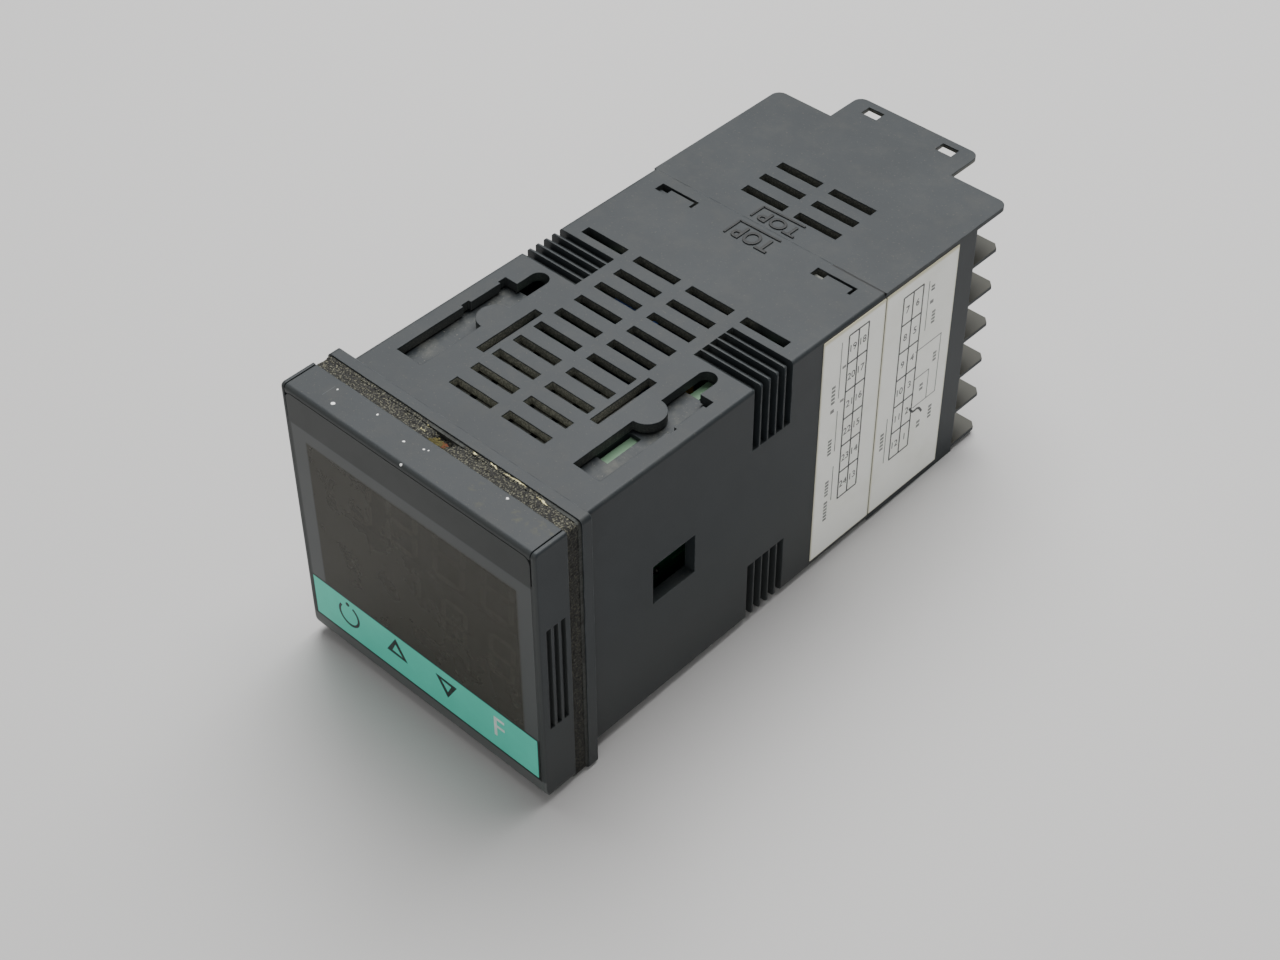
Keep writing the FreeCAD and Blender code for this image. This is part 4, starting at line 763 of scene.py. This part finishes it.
def figure(width, height, stroke, lean):
    """Seven six-sided bars round two squares, one above the other, all leaning to the right."""
    level = np.array([(-1, 0), (-0.8, -0.2), (0.8, -0.2), (1, 0), (0.8, 0.2), (-0.8, 0.2)])
    half = (width - stroke) / 2
    rise = (height - stroke) / 4
    flat = level * (half * 0.94, stroke * 2.4)
    upright = level[:, ::-1] * (-stroke * 2.4, rise * 0.94)
    strokes = [flat + (0, rise * 2 * step) for step in (-1, 0, 1)]
    strokes += [upright + (half * side, rise * step) for side in (-1, 1) for step in (-1, 1)]
    points = np.concatenate(strokes)
    points[:, 0] += lean * points[:, 1]
    return points, np.arange(42).reshape(7, 6).tolist()


def front_piece(name, shapes, place, thick, material, slot):
    """Flat shapes that face the front, laid at a depth and a height and riding on the front unit."""
    flat_piece(name, shapes, (0, *place), (1, 0, 0), (0, 0, 1), thick, material, "front_unit", slot)


milky_bars = mottled("unlit_bars", (226, 216, 192), (242, 232, 208), 1200.0, (0.2, 0.4))
for name, block_name, size, drop in (
    ("upper_figures", "upper_display", (6.4, 10.2, 1.15), 1.5),
    ("lower_figures", "lower_display", (5.2, 8.4, 0.95), 0.0),
):
    block_low, block_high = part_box(block_name)
    figures = [moved(figure(*size, FIGURE_LEAN), FIGURE_PITCH * (k - 1.5)) for k in range(4)]
    middle = (block_low.z + block_high.z) / 2 - drop * MM
    front_piece(name, figures, (block_low.y, middle), 0.03 * MM, milky_bars, "digit_block")


# Keys and switches
# Four round push caps under the film and the small switches that they press on the display board.
# Both are moulded; the caps in mid grey, the switches in black.
key_plastic = moulded_plastic("key_plastic", (120, 122, 121), (132, 134, 132), (160, 161, 159), (150, 146, 138))
dress(key_plastic, "key_scroll", "key_up", "key_down", "key_function")
dress(moulded_plastic("switch_plastic", (24, 24, 24), (34, 34, 34), (60, 60, 60), (80, 78, 72)), "key_switches")


# Front bezel
# The square front moulding with a hood over the film, two side cheeks and grip grooves near its corners.
# Same dark plastic as the case, handled more: pale specks and yellow smudges lie on its top.
BROW_RADIUS = 0.7
LIP_FROM = -19.5 * MM
WANDER = (0.4 * MM, 0.4 * MM, 0.0)
BEZEL_SPECKS = [(-17.17, -5.82, 0.18), (-15.49, -8.09, 0.34), (-9.57, -5.58, 0.19), (-3.19, -6.8, 0.19)]
BEZEL_SPECKS += [(-0.17, -6.08, 0.17), (0.39, -5.82, 0.12), (-0.37, -9.87, 0.26), (14.22, -5.11, 0.2)]
BEZEL_SMUDGES = [(20.4, -6.2, 1.7), (17.2, -6.6, 1.3), (12.0, -8.0, 1.1), (9.6, -6.2, 1.2), (22.4, -5.6, 0.8)]


def spots(tree, marks, low, high):
    """Ragged round marks on the brow: 1 within each radius of its place, after the place is shifted by noise.
    A mark near the front lies lower, on the brow's quarter circle."""
    place = node(tree, "TexCoord").outputs["Object"]
    wander = node(tree, "TexNoise", {"Vector": place, "Scale": 2500.0}).outputs["Color"]
    shift = node(tree, "VectorMath", {0: wander, 1: (0.5, 0.5, 0.5)}, operation="SUBTRACT").outputs[0]
    moves = {0: shift, 1: WANDER, 2: place}
    shifted = node(tree, "VectorMath", moves, operation="MULTIPLY_ADD").outputs[0]
    mask = 0.0
    for x, y, radius in marks:
        inset = max(BROW_RADIUS - (y - low.y / MM), 0.0)
        drop = BROW_RADIUS - math.sqrt(BROW_RADIUS**2 - inset**2)
        middle = (x * MM, y * MM, high.z - drop * MM)
        gap = node(tree, "VectorMath", {0: shifted, 1: middle}, operation="DISTANCE").outputs["Value"]
        mask = reckon("MAXIMUM", ramp(gap, radius * MM, radius * 0.6 * MM), mask)
    return mask


bezel_plastic = outer_plastic("bezel_plastic", veil=0.14)
bezel_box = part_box("front_bezel")
tree = bezel_plastic.node_tree
place = coordinates(tree)
# Painted light: the bezel is paled towards its lower edge.
faded_foot(bezel_plastic)
# Painted light: faces that look forward are paled, the hood's front strip a little and the lip below the film more,
# where the lamps give them too little light.
lip = ramp(place["Z"], LIP_FROM, LIP_FROM - 0.4 * MM)
front = tint(lip, (57, 60, 60), (90, 93, 92))
overlay(bezel_plastic, ramp(facing(tree, "Y"), -0.2, -0.8), front)
smear = product(spots(tree, BEZEL_SMUDGES, *bezel_box), patches(tree, 900.0, 0.45, 0.7), 0.3)
overlay(bezel_plastic, smear, (84, 82, 52))
scratch = field(place["X"], place["Y"], (-17.94, -7.9, -17.86, -5.65), 0.06)
overlay(bezel_plastic, product(scratch, 0.5), PLASTIC_RUB_AND_HIGHLIGHT)
overlay(bezel_plastic, spots(tree, BEZEL_SPECKS, *bezel_box), (255, 255, 252))
dress(bezel_plastic, "front_bezel")


# Smoked pane
# The tinted window behind the film, which hides the unlit displays.
# Smoke-brown acrylic with a slight haze.
smoked_pane, tree = new_material("smoked_pane")
haze = (noise(tree, 900.0), 0.05, 0.4)
dress(shade(smoked_pane, paint(40, 34, 30), haze, gloss=0.15, Alpha=0.25), "display_filter")


# Front film
# The printed sheet over the front: a dark band, a paler frame round the window and a green strip for the keys.
# Polyester with a fine matt texture, printed from behind and stuck down; a little scratched by fingers.
WINDOW_FIELD = (-19.95, -11.4, 20.45, 15.6)
MARGIN_FIELD = (-22.7, -24.0, 24.0, 17.75)
WINDOW_CLEAR = 0.26
film_low, film_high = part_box("front_film")
left, bottom, right, top = (side / MM for side in (film_low.x, film_low.z, film_high.x, film_high.z))
STRIP_FIELD = (left + 0.35, bottom + 0.35, right - 0.35, -11.75)
STRIP_EDGING = (left - 1.0, bottom - 1.0, right + 1.0, -11.4)
film_print, tree = new_material("film_print")
place = coordinates(tree)
window, margin, edging, strip = (
    field(place["X"], place["Z"], box, soft)
    for box, soft in ((WINDOW_FIELD, 0.5), (MARGIN_FIELD, 0.4), (STRIP_EDGING, 0.1), (STRIP_FIELD, 0.12))
)
wear = patches(tree, 200.0, 0.4, 0.75, 5.0)
band = tint(wear, (43, 46, 45), (46, 49, 48))
colour = tint(margin, band, tint(wear, (73, 76, 76), (76, 79, 79)))
colour = tint(window, colour, (66, 64, 56))
colour = tint(edging, colour, (26, 32, 31))
colour = tint(strip, colour, tint(wear, (84, 212, 186), (90, 218, 192)))
clear = reckon("MULTIPLY_ADD", window, -WINDOW_CLEAR, 1.0)
texture = (noise(tree, 5200.0, 1.0), 0.03, 0.03 * MM)
dress(shade(film_print, colour, (wear, 0.05, 0.5), texture, 0.42, Alpha=clear), "front_film")
GLUE_WIDTH = 0.4
GLUE_SINK = 0.012 * MM
GROOVE_END = 18.2
film_sides = [(x, bottom, x, GROOVE_END) for x in (left - 0.1, right + 0.1)]
film_ends = [(left, z, right, z) for z in (bottom, top)]
glue_line = [bars(film_sides + film_ends, GLUE_WIDTH)]
front_piece("film_glue", glue_line, (bezel_box[0].y + GLUE_SINK, 0), GLUE_SINK / 2, film_print, "film")


# Key signs
# The signs over the four keys: a ring with an arrow head, a triangle up, a triangle down and the letter F.
# Printed on the film in dark and pale grey ink.
def outline(corners, inner):
    """A closed band between a polygon and a smaller one inside it."""
    return np.concatenate([corners, inner]), grid_faces(2, len(corners), wrap_columns=True).tolist()


RING_RADIUS = 2.0
RING_LINE = 0.45
LETTER_HEIGHT = 3.8
SIGN_RISE = 0.01 * MM
RING_AT, UP_AT, DOWN_AT, LETTER_AT = (-15.35, -14.9), (-5.25, -14.5), (4.95, -14.8), (15.35, -15.05)
triangle = np.array([(-2.14, -1.44), (2.13, -1.5), (-0.1, 1.98)])
hollow = np.array([(-0.98, -0.88), (1.1, -1.02), (-0.18, 0.78)])
sweep = np.radians(np.linspace(63, -220, 33))
ring = ribbon(RING_RADIUS * np.stack([np.cos(sweep), np.sin(sweep)], 1), RING_LINE)
dot_turn = np.linspace(0, 2 * math.pi, 12, endpoint=False)
dot = (np.stack([0.42 * np.cos(dot_turn) - 0.12, 0.36 * np.sin(dot_turn) + 2.1], 1), [list(range(12))])
dark_signs = [
    moved(ring, *RING_AT),
    moved(dot, *RING_AT),
    moved(outline(triangle, hollow), *UP_AT),
    moved(outline(-triangle, -hollow), *DOWN_AT),
]
sign_ink = grey_ink("sign_ink", (16, 30, 27), (22, 36, 33))
pale_ink = grey_ink("pale_ink", (228, 236, 232), (206, 222, 214))
pale_letter = [moved(letters("F", LETTER_HEIGHT), *LETTER_AT)]
for name, shapes, ink in (("key_signs", dark_signs, sign_ink), ("key_letter", pale_letter, pale_ink)):
    front_piece(name, shapes, (film_low.y, 0), SIGN_RISE, ink, "film")


# Gasket
# The square foam ring between the bezel and the flange, on a thin backing strip.
# Open-cell rubber, brown-black and crumbling: sandy grit sits in its cells and a piece is torn out on top.
FOAM_DEPTH = 2.15 * MM
BACKING_DEPTH = 0.55 * MM
RING_WIDTH = 3.0 * MM
RING_CORNER = 0.8 * MM
TORN_PITS = [(-1.0, 1.4, 0.6, 0.45, 1.4), (0.0, 1.55, 0.7, 0.5, 1.4), (1.05, 1.6, 0.55, 0.45, 1.4)]
TORN_PITS += [(0.0, 2.0, 2.8, 0.35, 0.4), (-7.2, 1.7, 0.4, 0.25, 0.5), (6.1, 1.8, 0.7, 0.2, 0.5)]
gasket_low, gasket_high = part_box("gasket")


def square_ring(half, front, depth, steps, across):
    """A ring of rectangular section round a square with rounded corners. The section runs from the outer front
    edge to the rear, in along the rear face, forward on the inside and out along the front face; each of its
    points has its own square, smaller by its distance inwards."""
    turn = np.linspace(0, 2 * math.pi, steps, endpoint=False)
    core = np.stack([np.cos(turn), np.sin(turn)], 1)
    core = (core / np.abs(core).max(1, keepdims=True))[:, None, :]
    run = np.linspace(0, 1, across)
    part = np.linspace(0.1, 0.9, 6)
    back = np.concatenate([run, np.ones(6), run[::-3], np.zeros(6)]) * depth
    inward = np.concatenate([0 * run, part, np.ones(len(run[::3])), part[::-1]]) * RING_WIDTH
    size = (half - inward)[None, :, None]
    curve = np.maximum(RING_CORNER - inward, 0.05 * MM)[None, :, None]
    straight = np.clip(core * size, curve - size, size - curve)
    out = core * size - straight
    plan = straight + curve * out / np.linalg.norm(out, axis=2, keepdims=True)
    points = np.stack([plan[..., 0], np.broadcast_to(front + back, plan.shape[:2]), plan[..., 1]], -1)
    return points, grid_faces(steps, len(back), wrap_rows=True, wrap_columns=True)


def crumbled(points, front, rng):
    """Draws each point of the ring towards the middle of its section: by a sum of sines in random directions,
    for the cells, and on top by a few bell-shaped pits, for the torn place."""
    waves = rng.normal(size=(40, 3)) * rng.uniform(3.0, 11.0, (40, 1)) / MM
    phase = rng.uniform(0, 2 * math.pi, 40)
    cells = np.sin(points.reshape(-1, 3) @ waves.T + phase).sum(1).reshape(points.shape[:2]) / 6
    cells = np.clip(cells, -1, 1) * 0.5 + 0.5
    middle = points.mean(1, keepdims=True)
    aim = middle - points
    aim /= np.linalg.norm(aim, axis=2, keepdims=True)
    x, y, z = points[..., 0] / MM, (points[..., 1] - front) / MM, points[..., 2]
    pit = np.zeros_like(x)
    for across, back, long, deep, depth in TORN_PITS:
        pit += depth * np.exp(-(((x - across) / long) ** 2) - ((y - back) / deep) ** 2)
    pit *= (z > 0) * (0.4 + 0.6 * cells)
    drawn = points + aim * (0.14 * MM * cells)[..., None]
    drawn[..., 2] -= np.minimum(pit, 1.4) * MM
    return drawn


def perished_foam():
    """Crumbling foam: dark cells, paler patches, and sandy grains that lie thickest on what faces upwards."""
    group, _, out = new_group("perished_foam", {}, {"Colour": "Color", "Cells": "Float"})
    share = reckon("MULTIPLY_ADD", ramp(facing(group, "Z"), 0.0, 0.9), 0.36, 0.2)
    sand = product(patches(group, 4400.0, 0.5, 0.66), share)
    patch = patches(group, 350.0, 0.4, 0.7, 5.0)
    rubber = tint(patch, (20, 20, 18), (33, 33, 29))
    cells = {"Vector": node(group, "TexCoord").outputs["Object"], "Scale": 2600.0}
    voronoi = node(group, "TexVoronoi", cells).outputs[0]
    feed(out, {"Colour": tint(sand, rubber, (132, 130, 110)), "Cells": voronoi})
    return group


FOAM = perished_foam()


def foam_material(name):
    """The foam's colour and cells on a rough shader."""
    material, tree = new_material(name)
    foam = node(tree, "Group", node_tree=FOAM).outputs
    return shade(material, foam["Colour"], (foam["Cells"], 0.2, 0.75), (foam["Cells"], 0.8, 0.15 * MM))


ring_points, ring_faces = square_ring(gasket_high.x - 0.02 * MM, gasket_low.y, FOAM_DEPTH, 1400, 13)
foam_points = crumbled(ring_points, gasket_low.y, np.random.default_rng(7))
foam_rubber = foam_material("foam_rubber")
foam = new_piece("gasket_foam", foam_points, ring_faces, foam_rubber, "front_unit", "foam_rubber", smooth=True)
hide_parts("gasket")

backing = foam_material("backing_strip")
tree = backing.node_tree
place = coordinates(tree)
torn = field(place["X"], place["Z"], (-3.6, 20.0, 3.4, 25.0), 0.8)
bare = reckon("MAXIMUM", torn, ramp(place["X"], 16.5 * MM, 18.5 * MM))
dirt = patches(tree, 800.0, 0.4, 0.7, 4.0)
overlay(backing, bare, tint(dirt, (58, 60, 57), (40, 41, 38)))
strip = square_ring(gasket_high.x, gasket_low.y + FOAM_DEPTH, BACKING_DEPTH, 360, 4)
new_piece("gasket_backing", *strip, backing, "front_unit", "foam_rubber")


# Crumbs and torn paper
# Crumbs of perished foam by the torn place, and ragged scraps of old liner paper along the flange.
# Loose grains caught in the cells, olive, rust red and pale, and yellowed paper fibre.
rng = np.random.default_rng(23)
grain = turned([(-1.0, 0.0), (0.0, 1.0), (1.0, 0.0)], 4)
for name, colours, middles, spread, count, largest in (
    ("olive", ((96, 90, 52), (124, 116, 72)), [(-0.4, -3.9), (0.3, -3.75)], (0.5, 0.26), 110, 0.34),
    ("rusty", ((140, 84, 58), (112, 60, 40)), [(0.85, -3.6)], (0.26, 0.18), 20, 0.28),
    ("pale", ((226, 222, 176), (190, 184, 136)), [(-3.6, -2.2), (-2.9, -1.9), (-3.4, -3.3)], (0.4, 0.14), 30, 0.17),
):
    places = np.array(middles)[np.arange(count) % len(middles)] + rng.normal(size=(count, 2)) * spread
    height = gasket_high.z / MM - rng.uniform(0.05, 0.25, (count, 1))
    sizes = np.minimum(rng.uniform(0.4, 1.0, count) * largest, bezel_box[1].z / MM - height[:, 0])
    crumbs = repeated(*grain, np.concatenate([places, height], 1) * MM, sizes * MM)
    colour = grey_ink("crumbs_" + name, *colours)
    new_piece("foam_crumbs_" + name, *crumbs, colour, "front_unit", "foam_rubber")
LINER_RUNS = [(4.6, 5.5, -2.0), (7.8, 9.3, -1.9), (10.4, 14.3, -2.15), (16.5, 18.7, -2.2)]
scraps = []
for start, end, level in LINER_RUNS:
    fine = np.linspace(start, end, round((end - start) * 12))
    line = level + np.cumsum(rng.normal(0, 0.035, len(fine)))
    ragged = rng.uniform(0.05, 0.42, (len(fine), 1)) * np.sin(np.linspace(0.2, 2.9, len(fine)))[:, None]
    scraps.append(ribbon(np.stack([fine, line], 1), ragged))
liner = grey_ink("liner_paper", (214, 206, 150), (160, 152, 104))
level = (0, 0, gasket_high.z)
flat_piece("liner_paper", scraps, level, (1, 0, 0), (0, 1, 0), 0.04 * MM, liner, "front_unit", "label_paper")


# Floor, light and camera
# A plain pale floor under the flange's rear edge and the housing's rear edge, a large soft lamp overhead and
# a weak fill. The camera stands where the photograph was taken from.
FLOOR_HALF = 1.5
SIDE_WALL_END = 82.7 * MM
flange_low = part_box("case_shell")[0]
rear_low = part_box("rear_terminal_housing")[0]
slope = (rear_low.z - flange_low.z) / SIDE_WALL_END
floor_plan = FLOOR_HALF * np.array([(-1, -1), (1, -1), (1, 1), (-1, 1)])
floor_points = np.column_stack([floor_plan, flange_low.z + slope * floor_plan[:, 1]])
floor_mesh = bpy.data.meshes.new("floor")
floor_mesh.from_pydata(floor_points.tolist(), [], [(0, 1, 2, 3)])
floor = added("floor", floor_mesh)
floor_paint, tree = new_material("floor_paint")
feed(tree.nodes["Principled BSDF"], {"Base Color": paint(198, 197, 196), "Roughness": 0.7})
floor_mesh.materials.append(floor_paint)


def soft_lamp(name, place, aim, size, power):
    """A square area lamp at a place, turned to shine at the aim."""
    lamp = bpy.data.lights.new(name, "AREA")
    lamp.size = size
    lamp.energy = power
    turn = (Vector(aim) - Vector(place)).to_track_quat("-Z", "Y")
    added(name, lamp).matrix_world = Matrix.Translation(place) @ turn.to_matrix().to_4x4()


soft_lamp("overhead", (-0.15, 0.26, 0.58), (0.0, 0.03, 0.0), 0.6, 8.7)
soft_lamp("front_fill", (0.45, -0.65, 0.3), (0.0, 0.0, 0.0), 0.8, 2.2)
world = bpy.context.scene.world or bpy.data.worlds.new("studio")
bpy.context.scene.world = world
world.use_nodes = True
feed(world.node_tree.nodes["Background"], {"Color": (1.0, 1.0, 1.0, 1.0), "Strength": 0.22})

IMAGE_WIDTH = 1280
FOCAL_PIXELS = 2196.8
camera = bpy.data.cameras.new("camera")
camera.sensor_width = 36.0
camera.lens = camera.sensor_width * FOCAL_PIXELS / IMAGE_WIDTH
camera.shift_x = 0.0021
camera.shift_y = -0.0374
camera.clip_start = 0.01
stand = added("camera", camera)
right = (0.72981, 0.68364, -0.00444)
up = (-0.45677, 0.49243, 0.74086)
back = (0.50866, -0.53866, 0.67165)
place = (162.379 * MM, -138.219 * MM, 215.064 * MM)
stand.matrix_world = Matrix(((*right, 0.0), (*up, 0.0), (*back, 0.0), (*place, 1.0))).transposed()
bpy.context.scene.camera = stand
